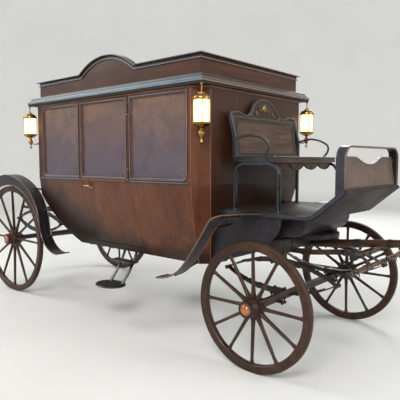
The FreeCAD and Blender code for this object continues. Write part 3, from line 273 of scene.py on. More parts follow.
def pane(name):
    """Dusty old glass with a painted reflection, cool below and warm above, and wiped streaks, clouds and small spots.
    """
    mat, tree, shader = new_material(name, rough=0.1, ior=1.45, coat=0.35, coat_rough=0.05)
    smear = noise(tree, 3.2, 6, 0.6, 0.9, (0.8, 0.8, 0.35))
    cloud = noise(tree, 5.5, 6, 0.62, 0.4)
    # Painted reflection: cool towards the bottom, warm reddish towards the top.
    rise = spread(along(tree, "Z"), 1.34, 2.0, 0.0, 1.0)
    tone = ramp(rise, (0.0, linear(98, 92, 106)), (0.45, linear(112, 94, 98)), (1.0, linear(136, 106, 90)))
    tone = mixed(spread(cloud, 0.42, 0.68, 0.0, 0.65), tone, linear(84, 74, 84))
    tone = mixed(spread(noise(tree, 34, 5, 0.7), 0.60, 0.70, 0.0, 0.45), tone, linear(168, 150, 138))
    dress(shader, tone, cloud, 0.05, 0.0006, smear, (0.35, 0.75, 0.08, 0.34))
    tree.links.new(spread(smear, 0.3, 0.75, 0.66, 0.86), shader.inputs["Alpha"])
    return mat


def glowing(name, colour, strength, alpha=1.0):
    """Lit glass or flame, a little uneven; alpha below 1 lets what is behind it show."""
    mat, tree, shader = new_material(name, rough=0.25)
    colour = linear(*colour)
    shader.inputs["Base Color"].default_value = colour
    shader.inputs["Emission Strength"].default_value = strength
    shade = ramp(noise(tree, 22, 4, 0.6, scale=(1, 1, 0.5)), (0.25, shaded(colour, 0.8)), (0.7, colour))
    tree.links.new(shade, shader.inputs["Emission Color"])
    if alpha < 1:
        tree.links.new(spread(noise(tree, 12, 4, 0.6), 0.3, 0.7, alpha * 0.9, alpha), shader.inputs["Alpha"])
    return mat


def painted_by_facing(mat, colour, share, start=0.25, full=0.6):
    """Lays another tone over the faces of a material that look along the coach: painted light and shade that follows
    which way a face looks.
    """
    tree = mat.node_tree
    base = tree.nodes["Principled BSDF"].inputs["Base Color"]
    # Faces that look forward or back take the other tone.
    facing = maths("ABSOLUTE", along(tree, "X", "Normal"))
    tone = mixed(spread(facing, start, full, 0.0, share), base.links[0].from_socket, linear(*colour))
    tree.links.new(tone, base)


# Finishes: dark, middle and light tone and the grain's stretch along X, Y and Z for woods, two tones for others

# low_shade sets how strongly the rear fender's painted shadow and the darker sill are laid on the body's panels.
PANEL = {"rough": (0.34, 0.5), "coat": 0.16, "bump": 0.1, "low_shade": 0.88}
UPRIGHT, LEVEL, ACROSS = (2.4, 2.4, 0.3), (0.4, 4.0, 4.0), (4.0, 0.4, 4.0)
BODY_WOOD = wood("body_varnish", (78, 44, 26), (104, 61, 36), (128, 78, 47), UPRIGHT, **PANEL)
DOOR_WOOD = wood("door_varnish", (80, 45, 27), (106, 62, 37), (130, 80, 48), (2.6, 2.6, 0.28), **PANEL)
FRONT_WOOD = wood("end_wall_varnish", (76, 42, 25), (102, 60, 36), (126, 78, 48), UPRIGHT, **PANEL)
ROOF_WOOD = wood("roof_varnish", (46, 25, 17), (80, 46, 29), (112, 68, 43), (0.35, 0.35, 3.2), (0.3, 0.48), bump=0.14)
DARK_WOOD = wood("dark_timber", (30, 18, 13), (46, 28, 20), (66, 42, 30), (0.5, 3.0, 3.0), (0.4, 0.62), 0.2, 0.2)
WHEEL_WOOD = wood("wheel_varnish", (34, 19, 12), (64, 38, 25), (100, 64, 42), (1.4, 5.0, 1.4), dust=0.15, bump=0.2)
POLE_WOOD = wood("pole_varnish", (40, 26, 20), (70, 48, 36), (102, 76, 58), LEVEL)
# Swingletrees lighter than the pole: a painted back light on the varnish.
TREE_WOOD_BACKLIT = wood("tree_varnish_painted_backlight", (76, 50, 34), (112, 78, 55), (146, 108, 80), (5.0, 0.5, 5.0))
SEAT_WOOD = wood("seat_varnish", (56, 40, 32), (90, 68, 54), (124, 98, 80), ACROSS, (0.34, 0.55))
FLOOR_WOOD = wood("floor_boards", (36, 31, 30), (60, 52, 49), (86, 76, 71), (0.4, 4.0, 3.0), (0.5, 0.75), 0.0, bump=0.5)
CROWN_WOOD = wood("crown_varnish", (38, 28, 24), (62, 47, 40), (88, 68, 58), (0.35, 0.35, 3.2), (0.2, 0.4), 0.1,
                  bump=0.12)
# Lighter wood as a painted highlight, for the frieze, the sash beads and the corner beads.
HIGHLIGHT_WOOD = wood("varnish_painted_highlight", (92, 58, 40), (134, 92, 66), (168, 124, 94), (0.5, 0.5, 3.0), (0.25, 0.45), 0.5)
BOOT = painted("boot_panel", (34, 31, 35), (56, 52, 58), (0.42, 0.6), coat=0.08)
FENDER = painted("fender_japan", (24, 20, 22), (44, 38, 41), (0.3, 0.5), coat=0.2)
# Painted highlight for the rolled edges of the fenders.
FENDER_HIGHLIGHT = painted("fender_painted_highlight", (78, 60, 52), (112, 88, 77), (0.25, 0.42))
SEAT_IRON = painted("seat_iron", (24, 26, 31), (46, 50, 58), (0.22, 0.4), coat=0.45)
TRIM = painted("trim_paint", (26, 28, 34), (48, 53, 63), (0.22, 0.38), coat=0.4)
# Blue-grey of the eave: a painted cold sky sheen on its sides; its lit strips take a painted highlight.
EAVE_SHEEN = painted("eave_painted_sheen", (44, 54, 60), (72, 88, 98), (0.3, 0.48), coat=0.25)
EAVE_HIGHLIGHT = painted("eave_painted_highlight", (82, 98, 110), (118, 136, 148), (0.3, 0.45), coat=0.25)
# Painted highlight for the lit strips of the roof crown and the base mould.
CROWN_HIGHLIGHT = painted("crown_painted_highlight", (84, 86, 92), (120, 120, 124), (0.28, 0.45), coat=0.1)
FRAME_PAINT = painted("frame_paint", (52, 42, 40), (78, 64, 60), (0.24, 0.4), coat=0.4)
# Painted blue-grey highlight for the lit strips of the window frames.
FRAME_HIGHLIGHT = painted("frame_painted_highlight", (86, 92, 104), (112, 120, 132), (0.26, 0.4))
# Painted highlight for the lit strips and inner bead of the seat back and the crest's bead.
SEAT_HIGHLIGHT = painted("seat_painted_highlight", (70, 64, 62), (104, 94, 88), (0.26, 0.42))
# Painted highlight for the dash plate's border and the rail's front lip.
DASH_HIGHLIGHT = painted("dash_painted_highlight", (80, 64, 55), (116, 96, 84), (0.28, 0.42), coat=0.2)
IRON = painted("black_iron", (18, 18, 20), (36, 35, 38), coat=0.5)
GEAR_IRON = painted("gear_iron", (26, 21, 20), (50, 40, 37), (0.35, 0.6), coat=0.15, rust=0.45, bump=0.3)
TYRE_IRON = painted("tyre_iron", (44, 32, 26), (80, 60, 48), (0.35, 0.65), 0.4, 0.0, 0.5, 0.6)
RUBBER = painted("step_rubber", (22, 22, 22), (38, 37, 36), (0.6, 0.85), coat=0.0, bump=0.4)
CANVAS = painted("roof_canvas", (34, 31, 30), (56, 51, 48), (0.6, 0.85), coat=0.0, bump=0.6)
WAX = painted("candle_wax", (236, 226, 200), (246, 238, 218), (0.35, 0.5), coat=0.0, bump=0.05)
BRASS = metal("aged_brass", (196, 150, 84), (110, 78, 44))
# Copper tone of the hub caps: a painted glint of warm lamplight on the metal.
HUB_COPPER_GLINT = metal("hub_copper_painted_glint", (202, 136, 98), (122, 76, 54), (0.18, 0.36))
STEEL = metal("worn_steel", (78, 77, 80), (46, 42, 40), (0.35, 0.55))
LAMP_METAL = metal("lamp_brass", (168, 128, 74), (84, 60, 36), (0.18, 0.4))
CREST_METAL = metal("crest_bronze", (150, 124, 92), (78, 62, 48), (0.25, 0.45))
DASH_HIDE = hide("dash_leather", (72, 57, 48), (124, 101, 86), 0.2)
CLOTH = cloth("bench_cloth", (60, 16, 16), (112, 34, 30))
CLOTH_CORD = cloth("cushion_cord", (74, 22, 20), (124, 44, 36))
LINING = cloth("cabin_lining", (72, 44, 34), (110, 74, 56))
GLASS = pane("window_glass")
LAMP_GLASS = glowing("lamp_glass_glow", (255, 224, 158), 3.4, 0.72)
FLAME = glowing("flame", (255, 226, 160), 14.0)
# Painted light by facing: the end walls' fore and aft faces darkened as painted shade; the eave and the eave's and
# crown's painted highlights turn brown on their end faces and keep their painted blue-grey sky sheen on the sides.
painted_by_facing(FRONT_WOOD, (44, 29, 22), 0.72, 0.78, 0.92)
painted_by_facing(EAVE_SHEEN, (58, 42, 34), 0.9)
painted_by_facing(EAVE_HIGHLIGHT, (134, 104, 84), 0.85)
painted_by_facing(CROWN_HIGHLIGHT, (128, 100, 82), 0.8)

CLADDING = (
    (BODY_WOOD, "cabin_side_right cabin_side_left"), (FRONT_WOOD, "cabin_front cabin_rear"),
    (DOOR_WOOD, "door_right door_left"), (DARK_WOOD, "cabin_floor bench_frames"), (CANVAS, "roof_deck"),
    (ROOF_WOOD, "roof_fascia"), (EAVE_SHEEN, "eave_cornice"), (CLOTH, "bench_cushions"), (LAMP_GLASS, "lamp_glass"),
    (TRIM, "roof_crown side_mouldings platform_edge dash_rail"), (FLOOR_WOOD, "driver_platform"),
    (GLASS, "side_glass door_glass_right door_glass_left"), (BOOT, "platform_bolster"), (DASH_HIDE, "dash_panel"),
    (BRASS, "door_handle_right door_handle_left lamp_frames"), (SEAT_IRON, "seat_irons"), (SEAT_WOOD, "seat_board"),
    (CROWN_WOOD, "seat_crest"), (FENDER, "front_fenders rear_fenders"), (IRON, "door_steps"),
    (GEAR_IRON, "pump_handles rear_springs rear_axle turntable_upper turntable_lower front_springs front_axle"),
    (POLE_WOOD, "futchells pole splinter_bar"), (TREE_WOOD_BACKLIT, "swingletree_right swingletree_left"),
    (WHEEL_WOOD, " ".join("wheel_" + corner for corner in CORNERS)),
    (TYRE_IRON, " ".join("tyre_" + corner for corner in CORNERS)),
)
for mat, names in CLADDING:
    for name in names.split():
        NODES[name].data.materials.clear()
        NODES[name].data.materials.append(mat)


# Mesh helpers: radii, profiles and bevels in millimetres, points as vectors of the frame

def turns(count, part=0.0):
    """Angles spaced evenly round a circle, shifted by a part of their step."""
    return [2 * math.pi * (i + part) / count for i in range(count)]


def flat(a):
    return V((math.cos(a), math.sin(a), 0))


def levels(low, high, step):
    """Values from low to high, about a step apart."""
    count = max(2, round((high - low) / step))
    return [low + (high - low) * i / count for i in range(count + 1)]


def piece(name, bm, materials, body="coach_body", replaces=None, angle=35):
    """Turns a bmesh into an object that rides on a body; faces keep the material index they were given."""
    mesh = bpy.data.meshes.new(name)
    bmesh.ops.recalc_face_normals(bm, faces=bm.faces)
    bm.to_mesh(mesh)
    bm.free()
    for mat in materials:
        mesh.materials.append(mat)
    mesh.shade_smooth()
    mesh.set_sharp_from_angle(angle=math.radians(angle))
    return placed(name, mesh, body, replaces)


def placed(name, mesh, body, replaces=None):
    obj = bpy.data.objects.new(name, mesh)
    bpy.context.scene.collection.objects.link(obj)
    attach(obj, body)
    if replaces:
        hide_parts(replaces)
    return obj


def pair(name, bm, materials, right="coach_body", left="coach_body", replaces=(None, None), slot=None):
    """The piece on the right side and its mirror image on the left."""
    mesh = piece(name + "_right", bm, materials, right, replaces[0]).data.copy()
    mesh.transform(Matrix.Scale(-1, 4, Y_AXIS))
    mesh.flip_normals()
    placed(name + "_left", mesh, left, replaces[1])


def skin(bm, rings, index=0, closed=False, caps=True, lit=()):
    """Joins rings of vertices with faces; the lit strips take the next material."""
    count = len(rings[0])
    for low, high in list(zip(rings, rings[1:])) + ([(rings[-1], rings[0])] if closed else []):
        for k in range(count):
            j = (k + 1) % count
            bm.faces.new((low[k], low[j], high[j], high[k])).material_index = index + (k in lit)
    if caps and not closed:
        for ring in (rings[0], rings[-1]):
            bm.faces.new(ring).material_index = index


def lathe(bm, centre, way, profile, sides=32, index=0, caps=True):
    """Adds a turned form: profile is (distance along, radius) pairs from centre along way."""
    way = V(way).normalized()
    across = way.orthogonal().normalized()
    up = way.cross(across)
    ring = [across * math.cos(a) + up * math.sin(a) for a in turns(sides)]
    skin(bm, [[bm.verts.new(centre + way * (far / 1000) + out * max(radius / 1000, 1e-5)) for out in ring]
              for far, radius in profile], index, caps=caps)


def tube(bm, points, radius, sides=8, index=0, closed=False, wide=1.0, up_hint=Z_AXIS):
    """Adds a rod along points; radius may be one value or one for each point."""
    count = len(points)
    radii = radius if isinstance(radius, list) else [radius] * count
    rings = []
    for i, point in enumerate(points):
        before = points[i - 1] if (i > 0 or closed) else point
        after = points[(i + 1) % count] if (i < count - 1 or closed) else point
        way = (after - before).normalized()
        across = way.cross(up_hint if abs(way.dot(up_hint)) < 0.95 else X_AXIS).normalized()
        up = across.cross(way)
        rings.append([bm.verts.new(point + (across * math.cos(a) * wide + up * math.sin(a)) * (radii[i] / 1000))
                      for a in turns(sides, 0.5)])
    skin(bm, rings, index, closed)


def block(bm, low, high, bevel, index=0, segments=2):
    """Adds a box between two corners with softened edges."""
    verts = bmesh.ops.create_cube(bm, size=1.0)["verts"]
    low, high = V(low), V(high)
    size = high - low
    for vert in verts:
        vert.co = low + V([(c + 0.5) * s for c, s in zip(vert.co, size)])
    for face in {f for v in verts for f in v.link_faces}:
        face.material_index = index
    edges = {e for v in verts for e in v.link_edges}
    bmesh.ops.bevel(bm, geom=list(edges), offset=bevel / 1000, segments=segments, affect="EDGES", profile=0.5)


def plate(bm, x, y, z, half, bevel=3):
    """Adds a box by its middle and its half sizes."""
    a, b, c = half
    block(bm, at(x - a, y - b, z - c), at(x + a, y + b, z + c), bevel)


def dome(bm, centre, way, radius, high, index=0, sides=12):
    """Adds a round bolt or rivet head."""
    rings = [(0, radius), (high * 0.55, radius * 0.86), (high * 0.88, radius * 0.5), (high, radius * 0.12)]
    lathe(bm, centre, way, rings, sides, index)


def nut(bm, centre, way, radius, high, index=1):
    """Adds a six-sided nut with a domed bolt end."""
    lathe(bm, centre, way, [(0, radius), (high * 0.85, radius), (high, radius * 0.86)], 6, index)
    dome(bm, centre + way * (high / 1000), way, radius * 0.5, high * 0.5, index, 10)


def circle(a, b, c):
    """Centre and radius of the circle through three points of a plane."""
    (ax, ay), (bx, by), (cx, cy) = a, b, c
    d = 2 * (ax * (by - cy) + bx * (cy - ay) + cx * (ay - by))
    sa, sb, sc = ax * ax + ay * ay, bx * bx + by * by, cx * cx + cy * cy
    x = (sa * (by - cy) + sb * (cy - ay) + sc * (ay - by)) / d
    y = (sa * (cx - bx) + sb * (ax - cx) + sc * (bx - ax)) / d
    return x, y, math.hypot(ax - x, ay - y)


def arc(a, b, c, steps):
    """Points on the circle through three points, from a past b to c."""
    ab, ac = b - a, c - a
    normal = ab.cross(ac)
    centre = a + (normal.cross(ab) * ac.length_squared + ac.cross(normal) * ab.length_squared) / (
        2 * normal.length_squared)
    start = a - centre
    turn = start.angle(b - centre) + (b - centre).angle(c - centre)
    axis = normal.normalized()
    return [centre + Matrix.Rotation(turn * i / steps, 3, axis) @ start for i in range(steps + 1)]


def joined(runs):
    """Runs of points, one after the other, with shared ends only once."""
    points = []
    for run in runs:
        points += run[1:] if points else run
    return points


def chain(y, items, steps=12):
    """Points along lines and arcs of (x, z) pairs, in the upright plane at one y."""
    spots = [[at(x, y, z) for x, z in item] for item in items]
    return joined(item if len(item) == 2 else arc(*item, steps) for item in spots)


def smooth(points, steps):
    """Points of an even curve through the given ones."""
    ends = [points[0] * 2 - points[1]] + points + [points[-1] * 2 - points[-2]]
    out = []
    for p0, p1, p2, p3 in zip(ends, ends[1:], ends[2:], ends[3:]):
        for t in (k / steps for k in range(steps)):
            out.append(0.5 * (2 * p1 + (p2 - p0) * t + (2 * p0 - 5 * p1 + 4 * p2 - p3) * t * t
                              + (3 * p1 - p0 - 3 * p2 + p3) * t ** 3))
    return out + [points[-1]]


def bent(points, radius, steps=8):
    """Straight runs joined by tangent arcs, as an iron is bent."""
    out = [points[0]]
    for before, corner, after in zip(points, points[1:], points[2:]):
        into, away = (corner - before).normalized(), (after - corner).normalized()
        half = into.angle(away) / 2
        cut = radius / 1000 * math.tan(half)
        centre = corner + (away - into).normalized() * (radius / 1000 / math.cos(half))
        mid = centre + (corner - centre).normalized() * (radius / 1000)
        out += arc(corner - into * cut, mid, corner + away * cut, steps)
    return out + [points[-1]]


def sweep(bm, points, side, profile, index=0, closed=False, ends=(0, 0), lit=()):
    """Carries a profile of (along side, along way x side) pairs over points, mitred at corners.

    ends slants the first and last ring by that many times the first value, for a corner with another run.
    """
    side = V(side).normalized()
    count = len(points)
    rings = []
    for i, point in enumerate(points):
        before = (point - points[i - 1]).normalized() if (i > 0 or closed) else None
        after = (points[(i + 1) % count] - point).normalized() if (i < count - 1 or closed) else before
        before = before or after
        way = (before + after).normalized()
        across = way.cross(side).normalized() / max(0.4, way.dot(after)) / 1000
        slant = ends[0] if i == 0 else ends[1] if i == count - 1 else 0
        rings.append([bm.verts.new(point + (side + way * slant) * (u / 1000) + across * v) for u, v in profile])
    skin(bm, rings, index, closed, ends == (0, 0), lit)


def strip(wide, proud):
    """Section of a rounded strip as (along, outward) pairs: flat at the back, softened in front."""
    w, h = wide / 2, proud
    front = [(w, h * 0.55), (w * 0.8, h * 0.86), (w * 0.4, h)]
    return [(-w, -0.4)] + [(-u, v) for u, v in front] + front[::-1] + [(w, -0.4)]


def band(low, high, inner, outer, ease=0.0, proud=0.0):
    """Turned profile of a band between two distances, with its edges eased where it stands proud."""
    top = [(low + ease, outer + proud), (high - ease, outer + proud)] if proud else []
    return [(low, inner), (low, outer)] + top + [(high, outer), (high, inner)]


# Wheels

SPOKES = 12
TYRE_DEEP, FELLOE_DEEP, FELLOE_HALF = 12.3, 50, 22
BARREL = [(-80, 40), (-80, 58), (-60, 61), (-58, 66), (-36, 74), (-14, 77), (4, 75), (30, 67), (44, 60), (72, 55),
          (86, 53), (87, 30)]
HUB_CAP = [(84, 40), (87, 40), (88.5, 37.5), (88.5, 35), (92, 34.5), (96, 32.5), (100, 27.5), (102.5, 20), (103.6, 11),
           (104, 9.5), (104.8, 6), (105, 2)]


def wheel(corner):
    """Felloes, turned spokes and banded nave of one wheel with its domed hub cap, and the iron tyre."""
    hub = FRONT_HUB if corner.startswith("front") else REAR_HUB
    out = V((0, -1 if corner.endswith("right") else 1, 0))
    radius = (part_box("tyre_" + corner)[1].x - hub.x) * 1000
    hub = V((hub.x, out.y * TYRE_Y, hub.z))
    outer = radius - TYRE_DEEP
    inner, half = outer - FELLOE_DEEP, FELLOE_HALF

    def spot(a, far, off=0.0, side=0.0):
        """Point at an angle from the top: outward, round the wheel and along the axle."""
        way, turn = V((math.sin(a), 0, math.cos(a))), V((math.cos(a), 0, -math.sin(a)))
        return hub + way * (far / 1000) + turn * (off / 1000) + out * (side / 1000)
    bm = bmesh.new()
    rim = [(-half, inner + 8), (-half + 4, inner + 3), (-half + 10, inner), (half - 10, inner), (half - 4, inner + 3),
           (half, inner + 8), (half, outer), (-half, outer), (-half, inner + 8)]
    lathe(bm, hub, out, rim, 120, caps=False)
    # joints between the six felloes: thin dark grooves with a dowel on each side
    for a in turns(SPOKES // 2, 0.25):
        for face in (-1, 1):
            tube(bm, [spot(a, inner + 4, 0, face * half), spot(a, outer - 1, 0, face * half)], 1.1, 6, 1)
            for off in (-34, 34):
                dome(bm, spot(a, inner + 27, off, face * half), out * face, 5.5, 3, 2, 10)
    # spokes: a square shoulder at the nave, an oval blade and a round tongue at the rim
    end = inner + 6
    for a in turns(SPOKES):
        rings = []
        for far, thick, wide, power in ((52, 21, 17, 4), (78, 21, 17, 4), (100, 18, 14.5, 2.4), (150, 16.5, 12.5, 2),
                                        (300, 15, 11.5, 2), (end - 60, 13.5, 11, 2), (end - 30, 12.5, 12, 2),
                                        (end - 22, 15, 14.5, 2), (end, 15, 14.5, 2)):
            dish = 14 * (1 - (far - 50) / (end - 50))
            ring = []
            for b in turns(16):
                c, s = (math.copysign(abs(v) ** (2 / power), v) for v in (math.cos(b), math.sin(b)))
                ring.append(bm.verts.new(spot(a, far, s * wide, c * thick - dish)))
            rings.append(ring)
        skin(bm, rings, caps=False)
    lathe(bm, hub, out, BARREL, 48)
    for low, high, size in ((-82, -60, 63), (-40, -30, 76.5), (12, 22, 74.5), (64, 86, 57.5)):
        lathe(bm, hub, out, band(low, high, size - 4, size, 2, 1.2), 48, 3)
    lathe(bm, hub, out, HUB_CAP, 48, 4)
    for a in turns(6, 0.5):
        nut(bm, spot(a, 47.5, 0, 86.8), out, 4.8, 3.6, 2)
    piece("wheel_detail_" + corner, bm, [WHEEL_WOOD, DARK_WOOD, STEEL, GEAR_IRON, HUB_COPPER_GLINT], "wheel_" + corner,
          "wheel_" + corner)
    # the tyre has softened edges and a bolt on each side of the felloes' middle
    bm = bmesh.new()
    low, w = radius - 12, 23
    section = [(-w, low), (-w, radius - 5), (-w + 2, radius - 2), (-w + 6, radius), (w - 6, radius),
               (w - 2, radius - 2), (w, radius - 5), (w, low), (-w, low)]
    lathe(bm, hub, out, section, 160, caps=False)
    for a in turns(SPOKES, 0.5):
        for side in (-11, 11):
            lathe(bm, spot(a, radius - 1.5, 0, side), V((math.sin(a), 0, math.cos(a))),
                  [(0, 5.2), (1.2, 5.2), (1.2, 2.5), (0.4, 2.2)], 10)
    piece("tyre_detail_" + corner, bm, [TYRE_IRON], "wheel_" + corner, "tyre_" + corner)


for corner in CORNERS:
    wheel(corner)


# Surfaces of the body

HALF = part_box("cabin_front")[1].y * 1000
NOSE, TAIL = ahead(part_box("cabin_front")[1].x), ahead(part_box("cabin_rear")[0].x)
CHAMFER = 110
WAIST, SILL = 1300, 640
DOOR_REAR = ahead(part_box("door_right")[0].x)
DOOR_FRONT = DOOR_REAR + 701
HINGE_X, HINGE_ZS = DOOR_FRONT + 2.5, (1370, 1930)
GLASS_LOW, GLASS_TOP, GLASS_R = 1340, 2015, 42
DIAGONAL = math.sqrt(2)
TURN_UNDER = (WAIST, 1070, SILL)


def bow(values, heights, z):
    """Value at a height on the circle through three (value, height) points; upright above the first."""
    if z >= heights[0]:
        return values[0]
    x, y, radius = circle(*zip(values, heights))
    return x + math.copysign(math.sqrt(radius ** 2 - (z - y) ** 2), values[0] - x)


def side_half(z):
    return bow((HALF, HALF - 64, HALF - 210), TURN_UNDER, z)


def nose_x(z):
    return bow((NOSE, NOSE - 42, NOSE - 137), TURN_UNDER, z)


def tail_x(z):
    return bow((TAIL, TAIL + 185, TAIL + 540), (WAIST, 930, SILL), z)


def reach(z):
    """x plus half width on the front chamfers."""
    spots = (NOSE + HALF - CHAMFER, NOSE - 42 + HALF - 64 - CHAMFER * 0.9, NOSE - 137 + HALF - 210 - CHAMFER * 0.6)
    return bow([s / DIAGONAL for s in spots], TURN_UNDER, z) * DIAGONAL


def plan_ring(z, half=HALF, over=0, cut=CHAMFER):
    """Corners of the body's plan at a height, anticlockwise from the right rear."""
    a, b = TAIL - over, NOSE + over
    ring = [(a + cut, -half), (b - cut, -half), (b, -half + cut), (b, half - cut), (b - cut, half), (a + cut, half),
            (a, half - cut), (a, -half + cut)] if cut else [(a, -half), (b, -half), (b, half), (a, half)]
    return [at(x, y, z) for x, y in ring]


# Roof mouldings

ROOF_IN = 60
FASCIA, FASCIA_TOP, EAVE_TOP = HALF - 62, 2263, 2140
ARCH_MID = (DOOR_REAR + DOOR_FRONT) / 2 - 8
ARCH_HALF, ARCH_RISE = 376.5, 132
CROWN = [(-28, 0.4), (6, 0.4), (9, 2), (10.2, 6), (9.6, 11), (7, 14.2), (3, 15), (2, 17), (2, 28), (3, 30), (9, 32),
         (18, 33.5), (25, 35), (28, 37.5), (28, 42), (26.5, 44.4), (24, 45), (-28, 45)]
BASE_MOULD = [(0, -2), (0, 12), (3, 11), (6, 7), (10, 5), (13, 2.6), (16, 2.2), (18, 0.6), (18, -2)]
EAVE_LOW = 78.2
EAVE_SECTION = [(EAVE_LOW, 40), (EAVE_LOW, 0.5), (79, 0), (90, 0), (94, 1.2), (96.5, 4), (98.5, 4), (99.5, 8),
                (100.5, 13), (102, 14), (108, 15), (114, 19), (118, 24), (119.5, 25), (120, 28), (123, 28),
                (129, 29.5), (135, 33), (139, 38), (140, 60)]


def fascia_line(y):
    """Top line of a side fascia, from its front end over the arch to its rear end."""
    radius = (ARCH_HALF ** 2 + ARCH_RISE ** 2) / (2 * ARCH_RISE)
    centre = FASCIA_TOP + ARCH_RISE - radius
    half = math.sqrt(radius ** 2 - (FASCIA_TOP - centre) ** 2)
    front, rear = (ARCH_MID + half, FASCIA_TOP), (ARCH_MID - half, FASCIA_TOP)
    return chain(y, [((NOSE - ROOF_IN, FASCIA_TOP), front), (front, (ARCH_MID, centre + radius), rear),
                     (rear, (TAIL + ROOF_IN, FASCIA_TOP))], 40)


def roof_mouldings():
    """Crown over the parapet, base mould on the eave, the eave itself and the frieze below it."""
    x0, x1, f, z = TAIL + ROOF_IN, NOSE - ROOF_IN, FASCIA, FASCIA_TOP
    side = fascia_line(-f)
    bm = bmesh.new()
    for points, out in ((side, RIGHT), ([at(x0, -f, z), at(x0, f, z)], -X_AXIS),
                        ([V((p.x, -p.y, p.z)) for p in reversed(side)], Y_AXIS),
                        ([at(x1, f, z), at(x1, -f, z)], X_AXIS)):
        # The crown's lit strips take a painted highlight.
        sweep(bm, points, out, CROWN, ends=(-1, 1), lit=(2, 3, 4, 12, 13, 14))
    bmesh.ops.remove_doubles(bm, verts=bm.verts, dist=0.00005)
    piece("roof_crown_mould", bm, [CROWN_WOOD, CROWN_HIGHLIGHT], "coach_body", "roof_crown", 40)

    bm = bmesh.new()
    ring = [at(x, y, EAVE_TOP) for x, y in ((x0, -f), (x1, -f), (x1, f), (x0, f))]
    # The base mould's lit strips take a painted highlight.
    sweep(bm, ring, Z_AXIS, BASE_MOULD, closed=True, lit=(2, 3))
    piece("fascia_base_mould", bm, [CROWN_WOOD, CROWN_HIGHLIGHT], angle=40)

    bm = bmesh.new()
    section = [(u - EAVE_LOW, -inset) for u, inset in EAVE_SECTION]
    # The eave in painted blue-grey sky sheen, its lit strips in a painted highlight.
    sweep(bm, plan_ring(2000 + EAVE_LOW, HALF + 36, 36, 0), Z_AXIS, section, closed=True, lit=(2, 6, 9, 13))
    piece("eave_moulded", bm, [EAVE_SHEEN, EAVE_HIGHLIGHT], "coach_body", "eave_cornice", 28)

    bm = bmesh.new()
    # The frieze band in painted highlight wood.
    sweep(bm, plan_ring(2051), Z_AXIS, strip(16, 7), closed=True)
    z = 2039.5
    for a, b in ((TAIL + CHAMFER, DOOR_REAR - 10), (DOOR_FRONT + 32, NOSE - CHAMFER)):
        for start, end, y in ((a, b, -HALF), (b, a, HALF)):
            sweep(bm, [at(start, y, z), at(end, y, z)], Z_AXIS, strip(4, 3), 1)
    piece("frieze", bm, [HIGHLIGHT_WOOD, TRIM])


roof_mouldings()


# Window frames, body edges and doors

WINDOWS = {"rear": (TAIL + 210, DOOR_REAR - 31), "door": (DOOR_REAR + 34, DOOR_FRONT - 34),
           "front": (DOOR_FRONT + 34, NOSE - 154)}
FRAME_SECTION = [(-0.4, -7.8), (5.6, -7.8), (7.6, -6.4), (8.8, -3.6), (8.1, -1), (7.4, 1), (6.8, 3.4), (7, 5.4),
                 (5.8, 7.4), (3.6, 7.8), (-0.4, 7.8)]
HANDLE_ROSE = [(0, 22.2), (3.5, 22.5), (5, 20.5), (6.2, 16), (8, 14.2), (9.4, 12), (10.4, 9.5), (18, 8.5), (25, 8),
               (30, 9.5), (33, 11.8), (37.5, 12.5), (42, 11.2), (45, 7), (46.2, 1)]
HANDLE_LEVER = [(-34, 2, 9), (-26, 0, 5), (-12, -1, 1), (0, -1.5, 0), (24, -2.5, 2), (50, -3, 1), (74, -2, -4),
                (92, 0, -11), (102, 2, -19)]


def window_path(name, grow):
    """Line round a window of the right side, outside its opening, with its one rounded corner."""
    x0, x1 = WINDOWS[name]
    a, b, low, high, turn = x0 - grow, x1 + grow, GLASS_LOW - grow, GLASS_TOP + grow, GLASS_R + grow
    near = turn * (1 - math.sqrt(0.5))

    def corner(round_, x, start, mid, end):
        spots = [at(u, -HALF, v) for u, v in (start, mid, end)]
        return arc(*spots, 8) if round_ else [at(x, -HALF, low)]
    return ([at(a, -HALF, high), at(b, -HALF, high)]
            + corner(name == "front", b, (b, low + turn), (b - near, low + near), (b - turn, low))
            + corner(name == "rear", a, (a + turn, low), (a + near, low + near), (a, low + turn)))


def window_frames():
    """Moulded frame round each side window, with a sash bead inside the opening."""
    for name, (x0, x1) in WINDOWS.items():
        bm = bmesh.new()
        # The frame's lit strips take a painted highlight.
        sweep(bm, window_path(name, 7), RIGHT, FRAME_SECTION, closed=True, lit=(2, 3))
        inner = [p + V((0, 0.0035, 0)) for p in window_path(name, -2.5)]
        # The sash bead in painted highlight wood.
        sweep(bm, inner, RIGHT, [(-4, -3), (2, -3), (3.2, 0), (2, 3), (-4, 3)], 2, closed=True)
        for x in (x0 - 7, x1 + 7):
            for z in levels(GLASS_LOW + 60, GLASS_TOP - 60, 180):
                dome(bm, at(x, -HALF - 7.2, z), RIGHT, 2.4, 1.2, 1, 8)
        bodies = ("door_right", "door_left") if name == "door" else ("coach_body", "coach_body")
        pair("window_frame_" + name, bm, [FRAME_PAINT, FRAME_HIGHLIGHT, HIGHLIGHT_WOOD], *bodies, slot="trim_black")


def corner_beads():
    """Beads down both edges of the corner posts."""
    front = levels(SILL + 6, WAIST + 4, 22) + [2042]
    rear = (WAIST + 4, 2042)
    bm = bmesh.new()
    for run in ([at(reach(z) - side_half(z), -side_half(z), z) for z in front],
                [at(nose_x(z), nose_x(z) - reach(z), z) for z in front],
                [at(side_half(z) + TAIL - HALF + CHAMFER, -side_half(z), z) for z in rear],
                [at(tail_x(z), tail_x(z) - TAIL - HALF + CHAMFER, z) for z in rear]):
        # The beads in painted highlight wood.
        tube(bm, run, 3.2, up_hint=X_AXIS)
    pair("corner_beads", bm, [HIGHLIGHT_WOOD])


